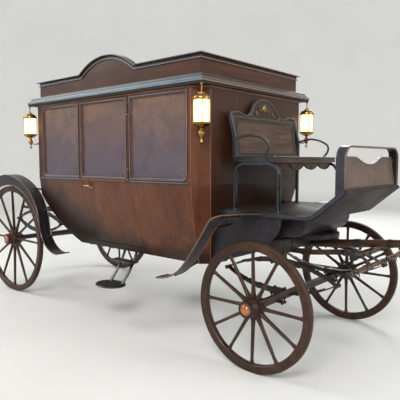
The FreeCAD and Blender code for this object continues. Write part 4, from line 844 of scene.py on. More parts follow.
def hinges():
    """Screw heads on the hinge leaves of the wall and of the door, and finials on the hinge pins."""
    for name, bodies, off, heights in (("hinge_screws_wall", ("coach_body", "coach_body"), 10.5, (-30, 0, 30)),
                                       ("hinge_screws_door", ("door_right", "door_left"), -10.5, (-10, 10))):
        bm = bmesh.new()
        for z in HINGE_ZS:
            for dz in heights:
                dome(bm, at(HINGE_X + off, -HALF - 3, z + dz), RIGHT, 2.6, 1.1, 0, 10)
        pair(name, bm, [BRASS], *bodies)
    bm = bmesh.new()
    for z in HINGE_ZS:
        for sign in (-1, 1):
            lathe(bm, at(HINGE_X, -HALF - 9, z + sign * 40), V((0, 0, sign)),
                  [(0, 7.2), (2, 7.4), (3, 4), (6, 6.2), (10, 6.6), (13, 4.5), (14.5, 1)], 16)
    pair("hinge_finials", bm, [BRASS])


def door_handle():
    """Turned rose and spindle with a curved lever, and the key plate below them."""
    x, z = DOOR_REAR + 100, 1248
    wall = -side_half(z)
    bm = bmesh.new()
    lathe(bm, at(x, wall + 3, z), RIGHT, HANDLE_ROSE)
    tube(bm, [at(x + u, wall - 35 + v, z + w) for u, v, w in HANDLE_LEVER],
         [5.5, 8.8, 9.8, 11.5, 10.4, 9.2, 9, 9.8, 5.5], 14, wide=0.8)
    for a in (0.6, 2.7, 4.8):
        dome(bm, at(x + math.cos(a) * 18.5, wall - 1.6, z + math.sin(a) * 18.5), RIGHT, 1.7, 0.8, 0, 8)
    lathe(bm, at(x, -side_half(z - 52) + 1.5, z - 52), RIGHT, [(0, 9.8), (3, 9.8), (4, 8.6), (4.2, 3), (3.2, 2.6)], 24)
    pair("handle", bm, [CREST_METAL], "door_right", "door_left", ("door_handle_right", "door_handle_left"))


window_frames()
corner_beads()
hinges()
door_handle()


# Lamps

LAMP_OUT = 105 / DIAGONAL
LAMP_FOOT, LAMP_HEAD = 1766, 1938
LAMP_BASE = [(0, 1.5), (3, 8), (9, 13), (15, 13), (22, 9), (30, 6), (36, 6.5), (44, 11), (54, 17), (64, 23), (72, 25),
             (80, 23.5), (88, 19), (98, 13), (106, 10), (110, 12), (114, 22), (122, 40), (132, 56), (140, 65),
             (142, 68), (147, 68.5), (150, 66), (150, 52)]
LAMP_CAP = [(0, 56), (0, 70), (3, 71), (7, 70.5), (8, 66), (12, 65.5), (18, 63.5), (26, 58), (34, 49), (38, 44),
            (40, 38), (40, 30), (44, 29), (50, 27), (52, 14), (54, 9), (58, 11), (62, 9), (64, 5.5), (70, 5),
            (110, 5), (112, 10), (116, 12), (121.5, 12)]
LAMP_PAD = [(0, 6), (0, 12.5), (1.8, 15.5), (3.4, 19), (6.6, 20.5)]
CANDLE_CUP = [(0, 20), (4, 22), (8, 13), (30, 12.5), (33, 14.5)]
FLAME_FORM = [(0, 2), (6, 8.5), (14, 10.5), (24, 8.5), (36, 4.5), (48, 0.6)]


def lamp(bm, lit, foot, toward):
    """One lamp: turned base and cap, posts, bands, rivets, scroll arm to the corner board, candle and flame."""
    def spot(z, way=toward, far=0.0):
        return foot + V((0, 0, z / 1000)) + way * (far / 1000)
    lathe(bm, spot(LAMP_FOOT - 150), Z_AXIS, LAMP_BASE)
    lathe(bm, spot(LAMP_HEAD), Z_AXIS, LAMP_CAP)
    for z, r, h in ((LAMP_FOOT, 65, 5), (LAMP_FOOT + 26, 60.2, 2), (LAMP_HEAD - 24, 60.2, 2), (LAMP_HEAD - 4, 66, 4)):
        lathe(bm, spot(z), Z_AXIS, band(0, h, r - 4, r))
    for way in (flat(math.radians(45 + 90 * i)) for i in range(4)):
        tube(bm, [spot(LAMP_FOOT - 2, way, 63), spot(LAMP_HEAD + 2, way, 63)], 3.4, 10)
        for z in (LAMP_FOOT + 6, LAMP_HEAD - 8):
            dome(bm, spot(z, way, 65.5), way, 4.2, 2.6, 0, 10)
    for way in map(flat, turns(12)):
        dome(bm, spot(LAMP_FOOT - 5, way, 68.2), way, 2.8, 1.8, 0, 8)
        dome(bm, spot(LAMP_HEAD + 3.4, way, 70.5), way, 2.6, 1.6, 0, 8)
    path = arc(spot(LAMP_FOOT - 80), spot(LAMP_FOOT - 105, toward, 52), spot(LAMP_FOOT - 70, toward, 98.5), 14)
    tube(bm, path, [8.2 - 1.6 * math.sin(math.pi * k / 14) for k in range(15)], 12)
    curl = []
    for k in range(20):
        a, r = -0.6 + k * 0.33, 16 * (1 - k / 24)
        curl.append(spot(LAMP_FOOT - 102 + r * math.sin(a), toward, 70 + r * math.cos(a)))
    tube(bm, curl, [4.2 * (1 - k / 34) for k in range(20)])
    pad, side = spot(LAMP_FOOT - 70, toward, 97.8), toward.cross(Z_AXIS)
    lathe(bm, pad, toward, LAMP_PAD, 28)
    for a in (0.5, 1.57, 2.64, 3.67, 4.71, 5.76):
        screw = pad + toward * 0.0025 + (side * math.cos(a) + Z_AXIS * math.sin(a)) * 0.015
        dome(bm, screw, -toward, 2, 1.2, 0, 8)
    lathe(bm, spot(LAMP_FOOT + 0.5), Z_AXIS, CANDLE_CUP, 20)
    lathe(bm, spot(LAMP_FOOT + 30), Z_AXIS, [(0, 10.5), (46, 10.5), (49, 9), (50, 2)], 20, 1)
    lathe(lit, spot(LAMP_FOOT + 80), Z_AXIS, FLAME_FORM, 16)


def lamps():
    bm, lit = bmesh.new(), bmesh.new()
    off = LAMP_OUT - CHAMFER / 2
    for x, sx in ((NOSE + off, -1), (TAIL - off, 1)):
        for sign in (-1, 1):
            lamp(bm, lit, at(x, sign * (HALF + off), 0), V((sx, -sign, 0)).normalized())
    piece("lamps_made", bm, [LAMP_METAL, WAX], "coach_body", "lamp_frames")
    piece("lamp_flames", lit, [FLAME])


lamps()


# Driver's seat

FLOOR_Z = 1100
SEAT_REAR, SEAT_FRONT, SEAT_Z, SEAT_T = -385, -15, 1519, 46
BACK_HALF, BACK_HIGH, BACK_T, LEAN = 467.7, 330, 16, math.radians(8)
SEAT_NORMAL = V((math.cos(LEAN), 0, math.sin(LEAN)))
IRON_Y, IRON_HALF = -481, 13
BACK_BORDER = [(-0.4, -18), (5, -18), (7.4, -15), (8, -8), (7, 2), (7.4, 8), (5.4, 14), (3.6, 16), (-0.4, 16)]
CREST_BEAD = [(-0.4, -13), (4.2, -13), (5.8, -10), (6.2, -5), (5.8, 0.5), (3, 2.2), (-16.4, 2.2), (-16.4, 0.2),
              (-0.4, 0.2)]
CREST_ROSE = [(0, 30), (3.5, 30), (5, 26), (4, 22), (7, 18), (9.5, 10), (10, 1)]
LEG = [(-17, -5), (-17, 5), (-15, 9), (-10, 11.5), (10, 11.5), (15, 9), (17, 5), (17, -5), (15, -9), (10, -11.5),
       (-10, -11.5), (-15, -9)]
POST = [(-13, -14), (-13, 14), (-11, 17), (-8, 18), (8, 18), (11, 17), (13, 14), (13, 7), (11.5, 5), (9, 3.5),
        (9, -3.5), (11.5, -5), (13, -7), (13, -14), (11, -17), (8, -18), (-8, -18), (-11, -17)]
POST_KNOB = [(0, 10), (1, 15), (3, 19), (26, 19), (28, 15), (29, 10)]
ARM = [(4, 128), (42, 146), (138, 162), (228, 146), (294, 112), (313, 78), (304, 42), (278, 8), (264, -8)]
SEAT_NOSING = [(-23, -0.5), (-23, 2), (-19, 3.2), (-16, 2.2), (-8, 2.4), (2, 3.8), (12, 6.2), (18, 7.6), (22, 6.6),
               (23.4, 3), (23.4, -0.5)]


def on_back(out, y, up):
    """Point of the seat's back: out from its front face, across and up along it."""
    c, s = math.cos(LEAN), math.sin(LEAN)
    return at(SEAT_REAR + 12 + out * c - up * s, y, SEAT_Z - 5.7 + BACK_T * s + out * s + up * c)


def seat_back():
    """Raised border, a slim inner bead and shallow grooves on the back."""
    def loop(side, low, high):
        y = BACK_HALF - side
        return [on_back(0, -y, low), on_back(0, y, low), on_back(0, y, BACK_HIGH - high),
                on_back(0, -y, BACK_HIGH - high)]
    bm = bmesh.new()
    # The border's lit strips and the inner bead take a painted highlight.
    sweep(bm, loop(20, 22, 20), SEAT_NORMAL, BACK_BORDER, closed=True, lit=(1, 5))
    tube(bm, loop(52, 54, 52), 3, 8, 1, closed=True)
    for k in range(1, 4):
        z = 54 + (BACK_HIGH - 106) * k / 4
        tube(bm, [on_back(0.1, y, z) for y in (-BACK_HALF + 56, BACK_HALF - 56)], 1.3, 6, 2)
    piece("seat_back_trim", bm, [CROWN_WOOD, SEAT_HIGHLIGHT, DARK_WOOD])


def seat_crest():
    """Bead along the crest's edge, a pair of plain scrolls carved on it and a plain rose."""
    z, h = BACK_HIGH + 0.3, BACK_HALF
    half = [((h, 20), (h * 0.86, 38), (h * 0.70, 20)), ((h * 0.70, 20), (h * 0.50, 26), (h * 0.36, 90))]
    other = [tuple((-y, up) for y, up in reversed(trio)) for trio in reversed(half)]
    arcs = half + [((h * 0.36, 90), (0, 166), (-h * 0.36, 90))] + other
    bm = bmesh.new()
    path = joined(arc(*[on_back(0, y, z + up) for y, up in trio], 14) for trio in arcs)
    # The bead's lit strips take a painted highlight.
    sweep(bm, path, SEAT_NORMAL, CREST_BEAD, lit=(2, 3, 5))
    for sign in (-1, 1):
        for y, up, size, turn in ((62, 72, 30, 1), (128, 42, 22, -1), (214, 10, 13, 1)):
            curl = []
            for k in range(30):
                a, r = turn * (0.4 + k * 0.30), size * (1 - k / 36)
                curl.append(on_back(2.4, sign * (y + r * math.cos(a)), z + up + r * math.sin(a)))
            tube(bm, curl, [5.2 * (1 - k / 48) for k in range(30)], 8, 2)
            dome(bm, on_back(0.2, sign * y, z + up), SEAT_NORMAL, size * 0.2, 5, 2, 14)
    lathe(bm, on_back(0.2, 0, z + 92), SEAT_NORMAL, CREST_ROSE, 28, 2)
    piece("crest_trim", bm, [CROWN_WOOD, SEAT_HIGHLIGHT, CREST_METAL])


def seat_irons():
    """Leg frame, end bar, fluted back post and arm loop of each end, forged with rounded edges."""
    y, foot, top = IRON_Y, FLOOR_Z + 0.3, SEAT_Z - SEAT_T - 9
    x0, x1, post = SEAT_REAR + 7, SEAT_FRONT + 36, SEAT_REAR + 4
    bm = bmesh.new()
    legs = [at(x, y, z) for x, z in ((x0, foot), (x0, top), (x1, top), (x1, foot))]
    sweep(bm, bent(legs, 90, 10), RIGHT, LEG)
    back = [at(x, y, SEAT_Z + z) for x, z in ((post, -30), (post, 140), (post - 52, 349))]
    sweep(bm, bent(back, 120), RIGHT, POST)
    lathe(bm, at(post - 50, y - 14.5, SEAT_Z + 344), Y_AXIS, POST_KNOB, 24)
    arm = smooth([at(SEAT_REAR + x, y, SEAT_Z + z) for x, z in ARM], 7)
    tube(bm, arm, 8.8, 14, up_hint=RIGHT)
    block(bm, at(SEAT_REAR - 12, y - IRON_HALF, SEAT_Z - SEAT_T), at(SEAT_FRONT + 4, y + IRON_HALF, SEAT_Z), 4.5, 0, 3)
    for z in (-36, -10):
        tube(bm, [at(x, y - IRON_HALF, SEAT_Z + z) for x in (SEAT_REAR - 6, SEAT_FRONT - 2)], 2.6)
    pair("seat_irons_forged", bm, [SEAT_IRON], replaces=("seat_irons", None), slot="iron")


def seat_fittings():
    """Beads along the seat board and its scalloped apron, bolts and feet of the seat irons."""
    bm = bmesh.new()
    middle_z, low, span = SEAT_Z - SEAT_T / 2, SEAT_Z - SEAT_T, BACK_HALF / 2
    sweep(bm, [at(SEAT_FRONT, y, middle_z) for y in (-BACK_HALF, BACK_HALF)], Z_AXIS, SEAT_NOSING, lit=(6, 7))
    starts = [-BACK_HALF + span * i for i in range(4)]
    scallops = [((y, low - 14), (y + span / 2, low - 58), (y + span, low - 14)) for y in starts]
    tube(bm, joined(arc(*[at(SEAT_FRONT - 26, y, z) for y, z in trio], 12) for trio in scallops), 3.6, 8, 1)
    for y in starts:
        dome(bm, at(SEAT_FRONT - 26, y + span / 2, low - 32), X_AXIS, 9, 4, 1, 16)
    for x in (SEAT_REAR + 130, SEAT_REAR + 250):
        tube(bm, [at(x, y, SEAT_Z + 0.1) for y in (-BACK_HALF + 4, BACK_HALF - 4)], 1.2, 6, 2)
    piece("seat_board_trim", bm, [SEAT_WOOD, CROWN_WOOD, DARK_WOOD])

    bm = bmesh.new()
    y, face, foot = IRON_Y, IRON_Y - IRON_HALF, FLOOR_Z + 6
    for x in (SEAT_REAR + 6, SEAT_FRONT + 36):
        block(bm, at(x - 22, y - 20, FLOOR_Z + 0.2), at(x + 22, y + 20, foot), 1.5)
        for dx, dy in ((-15, -14), (15, -14), (-15, 14), (15, 14)):
            dome(bm, at(x + dx, y + dy, foot), Z_AXIS, 4.2, 2.6, 1, 10)
        lathe(bm, at(x, y, foot), Z_AXIS, [(0, 20.5), (4, 20.5), (9, 17), (12, 15)], 20)
    for x in (SEAT_REAR + 16, SEAT_REAR + 180, SEAT_FRONT - 60):
        nut(bm, at(x, face, middle_z), RIGHT, 8.5, 5)
    for x, z in ((4, 60), (4, 120), (-2, 166)):
        dome(bm, at(SEAT_REAR + x, face, SEAT_Z + z), RIGHT, 6.2, 3.5, 1)
    pair("seat_iron_fittings", bm, [SEAT_IRON, STEEL])


seat_back()
seat_crest()
seat_irons()
seat_fittings()


# Dash and platform

DASH_X, DASH_Z, DASH_TOP, DASH_HALF = 534, 1296, 1516, 478
DASH_FOOT = DASH_Z - 34
BEND_X, PLAT_HALF = 300, 500
DASH_LEAN = math.atan2(26, DASH_TOP - DASH_FOOT)
DASH_BORDER = [(-0.4, 1.2), (3.4, 1.2), (5.4, -1.4), (5.8, -6), (5, -11), (3, -13), (-0.4, -13)]
BATTEN = [(-0.3, -13), (6, -13), (8.4, -10), (8.8, 0), (8.4, 10), (6, 13), (-0.3, 13)]


def on_dash(out, y, z):
    """Point of the dash plate: out from its rear face, across, and at its upright height."""
    c, s = math.cos(DASH_LEAN), math.sin(DASH_LEAN)
    up = z - DASH_FOOT
    return at(DASH_X - 30 + out * c - up * s, y, DASH_FOOT + out * s + up * c)


def dash():
    """Raised border along the dash plate's scalloped outline and foot, on both faces, and its rail brackets."""
    dip, run = 54, 262
    turn = 2 * math.atan(dip / run)
    outer = 0.34 * run / math.sin(turn)
    half, top_half = DASH_HALF - 14, DASH_HALF - 32
    bm = bmesh.new()
    for out, way in ((12, 1), (0, -1)):
        def shoulder(side, part):
            a = turn * part
            return on_dash(out, side * (run - outer * math.sin(a)), DASH_TOP - outer * (1 - math.cos(a)))
        foot = DASH_Z - 2
        path = [on_dash(out, half, foot), on_dash(out, top_half, DASH_TOP)]
        path += arc(*[shoulder(1, p) for p in (0, 0.5, 1)], 8)
        path += arc(shoulder(1, 1), on_dash(out, 0, DASH_TOP - dip), shoulder(-1, 1), 22)[1:]
        path += arc(*[shoulder(-1, p) for p in (1, 0.5, 0)], 8)[1:]
        path += [on_dash(out, -top_half, DASH_TOP), on_dash(out, -half, foot)]
        facing = V((math.cos(DASH_LEAN), 0, math.sin(DASH_LEAN))) * way
        # The border and the foot rod in a painted highlight colour.
        sweep(bm, path, facing, [(u, v * way) for u, v in DASH_BORDER])
        tube(bm, [on_dash(out, y, DASH_Z + 7) for y in (-half + 2, half - 2)], 5.6, 10)
    for sign in (-1, 1):
        for z in (DASH_Z + 60, DASH_TOP - 30):
            x, (y0, y1) = ahead(on_dash(6, 0, z).x), sorted((sign * (half - 22), sign * (half + 24)))
            block(bm, at(x - 12, y0, z - 9), at(x + 12, y1, z + 9), 2, 1)
    piece("dash_trim", bm, [DASH_HIGHLIGHT, IRON])


def dash_rail_fittings():
    """Rounded lips along both edges of the rail strap, and its bolted feet."""
    half, x0, top, bend = DASH_HALF + 10, DASH_X - 35, 1585, 90
    near = bend * (1 - math.sqrt(0.5))
    bm = bmesh.new()
    # The front lip, index 2, in a painted highlight colour.
    for x, foot, radius, index in ((x0 - 31, 1250, 6.6, 0), (x0 + 31, 1300, 7.8, 2)):
        def turned(*spots):
            return arc(*[at(x, y, z) for y, z in spots], 10)
        path = [at(x, -half, foot)]
        path += turned((-half, top - bend), (-half + near, top - near), (-half + bend, top))
        path += turned((half - bend, top), (half - near, top - near), (half, top - bend))
        tube(bm, path + [at(x, half, foot)], radius, 12, index, up_hint=X_AXIS)
    for sign in (-1, 1):
        for z in (1330, 1362):
            dome(bm, at(x0 + 14, sign * (half + 5), z), V((0, sign, 0)), 6.2, 3.6, 1)
    piece("dash_rail_lips", bm, [TRIM, STEEL, DASH_HIGHLIGHT])


def platform_details():
    """Board joints and screws of the driver's floor and toe board, foot battens, and the edge's bolts."""
    bm = bmesh.new()
    z = FLOOR_Z + 0.2
    rise = V((DASH_X - BEND_X, 0, DASH_Z - FLOOR_Z))
    for k in range(1, 8):
        y = -PLAT_HALF + 2 * PLAT_HALF * k / 8
        tube(bm, [at(NOSE + 6, y, z), at(BEND_X, y, z), at(BEND_X + rise.x * 0.97, y, z + rise.z * 0.97)], 1.6, 6,
             up_hint=Y_AXIS)
        for x in (-380, -180, 20, 220):
            for dy in (-16, 16):
                if x != -180 or k not in (1, 7):
                    dome(bm, at(x, y + dy, FLOOR_Z), Z_AXIS, 3.6, 1.2, 1, 8)
    way = rise.normalized()
    lift = V((-way.z, 0, way.x))
    for far in (0.30, 0.56, 0.82):
        spot = at(BEND_X, 0, FLOOR_Z) + way * (rise.length / 1000 * far)
        sweep(bm, [spot + V((0, y, 0)) for y in (-0.44, 0.44)], lift, BATTEN, 2)
        for y in levels(-0.40, 0.40, 0.2):
            dome(bm, spot + V((0, y, 0)) + lift * 0.0088, lift, 4.4, 1.6, 1, 8)
    piece("platform_details", bm, [DARK_WOOD, STEEL, RUBBER])

    bm = bmesh.new()
    y = -PLAT_HALF - 18.3
    for x in levels(-420, 240, 110):
        dome(bm, at(x, y, FLOOR_Z - 14), RIGHT, 7, 4.2)
    tube(bm, [at(x, y + 3, FLOOR_Z + 1) for x in (NOSE - 8, 170)], 3.4)
    pair("platform_edge_bolts", bm, [TRIM])


dash()
dash_rail_fittings()
platform_details()


# Fenders and steps

FENDER_IN, FENDER_OUT, FENDER_TAIL = -770, -895, -845
FENDER_PATH = [((-100, 1084), (-142, 1099), (-188, 1106)), ((-188, 1106), (-266, 1084), (-320, 1030)),
               ((-320, 1030), (-395, 917), (-476, 804)), ((-476, 804), (-530, 733), (-590, 668)),
               ((-590, 668), (-704, 595), (FENDER_TAIL, 566))]
STEP_IRONS = (-84, 84)


def front_fender_trim():
    """Rolled edge round the front sheet, a raised centre rib, and the bolts of its stays."""
    profile = chain(0, FENDER_PATH, 20)

    def height(x):
        for a, b in zip(profile, profile[1:]):
            if b.x <= x <= a.x:
                return a.z + (b.z - a.z) * (x - a.x) / (b.x - a.x)
        return profile[0].z if x > profile[0].x else profile[-1].z

    def curved(*trios):
        return [p for trio in trios for p in arc(*[at(x, y, 0) for x, y in trio], 10)[1:]]
    inner, outer, edge = FENDER_IN, FENDER_OUT, -PLAT_HALF - 18.6
    plan = [at(FENDER_TAIL, outer, 0), at(-312, outer, 0)]
    plan += curved(((-312, outer), (-214, outer + 34), (-172, outer + 128)),
                   ((-172, outer + 128), (-156, (outer + edge) / 2 + 26), (-112, edge)))
    plan.append(at(-306, edge, 0))
    plan += curved(((-306, edge), (-286, edge - 110), (-300, edge - 196)),
                   ((-300, edge - 196), (-322, inner + 20), (-376, inner)))
    plan.append(at(FENDER_TAIL, inner, 0))
    fine = []
    for a, b in zip(plan, plan[1:] + plan[:1]):
        count = max(1, round((b - a).length / 0.022))
        fine += [a.lerp(b, i / count) for i in range(count)]
    bm = bmesh.new()
    # The rolled edge in a painted highlight colour.
    tube(bm, [V((p.x, p.y, height(p.x) - 0.0025)) for p in fine], 5.8, 10, 2, closed=True)
    rib = [p + V((0, (inner + outer) / 2000, 0.0)) for p in profile if p.x <= AXLE_X - 0.33]
    tube(bm, rib, 4.2, wide=1.8)
    for x, y in ((-352, -800), (-705, -812)):
        nut(bm, at(x, y, height(at(x, 0, 0).x) * 1000 - 2), Z_AXIS, 9.5, 6)
    lathe(bm, at(-438, -490.5, 993.6), RIGHT, [(0, 24), (4, 24), (6, 20), (10, 12)], 20)
    pair("front_fender_trim", bm, [FENDER, STEEL, FENDER_HIGHLIGHT])


def rear_fender_trim():
    """Rolled edges on the rear sheet and flange, a raised bead and stay bolts."""
    def spot(x, z):
        return x + REAR_X, z + REAR_Z
    back, crest, bend = spot(-588, 362), spot(-40, 725), spot(410, 572)
    knee, flare, tip = spot(622, 200), spot(795, -38), spot(980, -54)
    sheet = [(back, spot(-375, 632), crest), (crest, spot(200, 680), bend), (bend, spot(558, 408), knee),
             (knee, spot(675, 64), flare), (flare, spot(884, -64), tip)]
    under = spot(-40, 614)
    flange = [(back, spot(-360, 524), under), (under, spot(395, 487), knee)]
    bm = bmesh.new()
    # Rolled edges, index 2, in a painted highlight colour; the middle bead in the fender's own colour.
    for y, line, steps, radius, sides, index in (
            (-690, sheet, 16, 5.8, 10, 2), (-810, sheet, 16, 5.8, 10, 2), (-811, flange, 18, 6, 10, 2),
            (-750, sheet, 16, 4.2, 8, 0)):
        tube(bm, chain(y, line, steps), radius, sides, index, up_hint=Y_AXIS)
    for x, z in (back, tip):
        tube(bm, [at(x, y, z) for y in (-690, -810)], 5.8, 10)
    for x, z in (spot(368, 594), spot(576, 360), spot(662, 90)):
        lathe(bm, at(x, -732, z), RIGHT, [(0, 12), (6, 12), (8, 9)], 14, 1)
    pair("rear_fender_trim", bm, [FENDER, STEEL, FENDER_HIGHLIGHT])


def step_trim():
    """Ribbed tread, rolled rim and bolts of the step, and a short wooden tread clamped under the sill."""
    x0, y0, z0 = (DOOR_REAR + DOOR_FRONT) / 2 + 71.5, -HALF + 10, 362
    bm = bmesh.new()
    rim = [at(x0 + 150 * math.cos(a), y0 + 118 * math.sin(a), z0 - 6) for a in turns(56)]
    tube(bm, rim, 8.2, 10, closed=True)
    for y in range(-85, 86, 17):
        half = 136 * math.sqrt(max(0, 1 - (y / 104) ** 2))
        tube(bm, [at(x, y0 + y, z0 + 0.5) for x in (x0 - half, x0 + half)], 3.6, 8, 1, wide=1.5)
    for x in (x0 + dx for dx in STEP_IRONS):
        for dy in (70, 92):
            nut(bm, at(x, y0 + dy, z0 - 11), -Z_AXIS, 8.5, 6, 2)
        block(bm, at(x - 24, y0 + 240, 627), at(x + 24, y0 + 320, 634), 1.5)
        for dy in (252, 308):
            nut(bm, at(x, y0 + dy, 627), -Z_AXIS, 8, 6, 2)
    block(bm, at(x0 - 150, y0 + 108, 540), at(x0 + 150, y0 + 212, 556), 6, 3, 3)
    for x in (x0 + dx for dx in STEP_IRONS):
        block(bm, at(x - 17, y0 + 150, 534), at(x + 17, y0 + 226, 541), 2)
        nut(bm, at(x, y0 + 166, 534), -Z_AXIS, 7, 5, 2)
    pair("step_trim", bm, [IRON, RUBBER, STEEL, WHEEL_WOOD])


front_fender_trim()
rear_fender_trim()
step_trim()


# Running gear

SPRING_Y, SPRING_HALF, SPRING_HIGH = -440, 470, 268
BED_HALF = 23
FRONT_SPRING_Z, REAR_SPRING_Z = FRONT_Z + BED_HALF + 10, REAR_Z + BED_HALF + 12
AXLE_SHOULDER = -690
TABLE_R = 0.227
TRANSOM_HALF = 39
POLE_BUTT, POLE_TIP_X, POLE_SLOPE = (36.3, 825.7), 2867.6, 0.1
POLE_R, POLE_TIP_R = 32, 20
TIMBER_Y, FUTCHELL_Z, SPLINTER_Z = -230, 795.4, 827.2
TREE_AT, TREE_HALF = (632, -335, 765), 305
GEAR = [GEAR_IRON, STEEL]


def spring_fittings(name, x, low, body):
    """Eye bolts, end clips, centre clamp and its nuts on one elliptic spring."""
    rise = SPRING_HIGH / 2
    radius = (SPRING_HALF ** 2 + rise ** 2) / (2 * rise)
    bm = bmesh.new()
    for side in (-1, 1):
        eye = at(x + side * SPRING_HALF, SPRING_Y, low + rise)
        for way in (RIGHT, Y_AXIS):
            nut(bm, eye + way * 0.026, way, 12.5, 9)
            lathe(bm, eye + way * 0.0225, way, [(0, 16.5), (4, 16.5), (4, 10)], 20)
    for half in (-1, 1):
        for side in (-1, 1):
            for share, leaves in ((0.36, 3), (0.66, 2)):
                off = SPRING_HALF * share * side
                high = math.sqrt(radius ** 2 - off ** 2) - (radius - rise)
                deep = 8 * leaves + 6
                start = len(bm.verts)
                block(bm, (-0.007, -0.0265, -deep / 2000), (0.007, 0.0265, deep / 2000), 1.5)
                bm.verts.ensure_lookup_table()
                centre = at(x + off, SPRING_Y, low + rise + half * (high - deep / 2 + 3))
                turn = Matrix.Rotation(math.asin(off / radius) * half, 3, "Y")
                for vert in bm.verts[start:]:
                    vert.co = centre + turn @ vert.co
        z = low + rise + half * rise
        plate(bm, x, SPRING_Y, z - half * 34, (56, 29, 4), 1.5)
        for dx in (-42, 42):
            for y in (SPRING_Y - 26, SPRING_Y + 26):
                tube(bm, [at(x + dx, y, z - half * 44), at(x + dx, y, z + half * 4)], 4.8)
                nut(bm, at(x + dx, y, z - half * 38), V((0, 0, -half)), 9.5, 7)
    pair(name, bm, GEAR, body, body)


def axle_fittings(name, x, z, body):
    """Collars, clip plates and U bolts where the springs stand on the axle bed."""
    bm = bmesh.new()
    plate(bm, x, SPRING_Y, z - 30, (62, 27, 5), 2)
    for dx in (-48, 48):
        for y in (SPRING_Y - 17, SPRING_Y + 17):
            tube(bm, [at(x + dx, y, z - 42), at(x + dx, y, z + 36)], 5.5)
            nut(bm, at(x + dx, y, z - 35), -Z_AXIS, 11, 8)
    for off, profile in ((34, [(0, 30), (3, 34), (10, 36), (17, 34), (21, 30)]),
                         (6, [(0, 34), (2, 38), (6, 38), (6.5, 30)])):
        lathe(bm, at(x, AXLE_SHOULDER + off, z), RIGHT, profile, 28)
    pair(name, bm, GEAR, body, body)


def turntable_bolts():
    """Bolt heads and nuts round both turntable plates, and the straps of the transom."""
    upper, lower = bmesh.new(), bmesh.new()
    for spot in (flat(a) * TABLE_R for a in turns(12, 0.5)):
        if abs(spot.x) > 0.05 or abs(spot.y) < 0.18:
            dome(lower, at(0, 0, 883.7) + spot, -Z_AXIS, 8.5, 5, 1)
        dome(upper, at(0, 0, 916) + spot, Z_AXIS, 8.5, 5, 1)
    nut(upper, at(0, 0, 787.6), -Z_AXIS, 24, 10)
    for y in (-430, -300, 300, 430):
        plate(lower, 0, y, 854.5, (TRANSOM_HALF, 14, 43.5), 2)
        for way in (-X_AXIS, X_AXIS):
            for z in (830, 868):
                nut(lower, at(way.x * TRANSOM_HALF, y, z), way, 8.5, 6)
    piece("turntable_upper_bolts", upper, GEAR)
    piece("transom_straps", lower, GEAR, "forecarriage")


def pole_fittings():
    """Iron collars and bolts along the pole, with a turned cap on its ferrule."""
    way = V((1, 0, POLE_SLOPE)).normalized()
    butt = at(POLE_BUTT[0], 0, POLE_BUTT[1])
    whole = (POLE_TIP_X - POLE_BUTT[0]) / way.x
    bm = bmesh.new()
    for far, wide in ((360, 50), (620, 30), (1100, 30), (1620, 30), (2120, 30), (2550, 30)):
        r = (POLE_R + (POLE_TIP_R - POLE_R) * far / whole) * 0.995
        lathe(bm, butt + way * (far / 1000), way, [(0, r), (1, r + 2.8), (wide - 1, r + 2.8), (wide, r)])
        for side in (RIGHT, Y_AXIS):
            dome(bm, butt + way * ((far + wide / 2) / 1000) + side * ((r + 2) / 1000), side, 6, 3.5, 1, 10)
    cap = [(-4, 21.5), (-2, 24.8), (4, 26.2), (10, 24.8), (12, 24.1)]
    lathe(bm, butt + way * (whole / 1000 - 0.060), way, cap)
    piece("pole_fittings", bm, GEAR, "forecarriage")


def timber_fittings():
    """Clips and bolts of the futchells and the splinter bar, and the bolt heads over its links."""
    bm = bmesh.new()
    for x, half, z in ((-270, 14, FUTCHELL_Z), (-120, 14, FUTCHELL_Z), (90, 14, FUTCHELL_Z), (430, 12, SPLINTER_Z),
                       (492, 12, SPLINTER_Z)):
        plate(bm, x, TIMBER_Y, z, (half, 21, 21))
        if z == FUTCHELL_Z:
            nut(bm, at(x, TIMBER_Y, z - 21), -Z_AXIS, 9.5, 6)
        nut(bm, at(x, TIMBER_Y - 21, z), RIGHT, 8.5, 5)
    for y0, y1 in ((-375.5, -340), (-120, -96)):
        plate(bm, 545, (y0 + y1) / 2, SPLINTER_Z, (24, (y1 - y0) / 2, 19))
    for y in (-358, TIMBER_Y, -108):
        nut(bm, at(566, y, SPLINTER_Z), X_AXIS, 9, 6)
    dome(bm, at(TREE_AT[0], TREE_AT[1], 805.5), Z_AXIS, 13.5, 6, 1, 16)
    pair("timber_fittings", bm, GEAR, "forecarriage", "forecarriage")


def swingletree_fittings():
    """Ferrules, end hooks with their eyes, and the centre clip of a swingletree."""
    bm = bmesh.new()

    def ring_band(centre, way, r, high, proud):
        lathe(bm, centre, way, [(0, r * 0.98), (1, r + proud), (high - 1, r + proud), (high, r * 0.98)], 28)
    clip = at(*TREE_AT)
    for out in (RIGHT, Y_AXIS):
        end = clip + out * (TREE_HALF / 1000)
        lathe(bm, end - out * 0.0265, out, [(0, 16.5), (1, 18.2), (5, 19), (9, 18), (26.2, 17.6), (27.5, 16), (28.5, 9),
                                            (29, 1)], 28)
        for far in (75, 135):
            ring_band(end - out * (far / 1000), out, 14 + 7 * far / TREE_HALF, 13, 2)
        hook = end - out * 0.069 + V((0.029, 0, -0.004))
        eye = [hook + V((math.cos(a), 0, math.sin(a))) * 0.017 for a in turns(24)]
        tube(bm, eye, 4, 8, 1, closed=True, up_hint=Y_AXIS)
    for dy in (-0.041, 0.027):
        ring_band(clip + V((0, dy, 0)), Y_AXIS, 20.7, 14, 2.2)
    pair("swingletree_fittings", bm, GEAR, "swingletree_right", "swingletree_left")


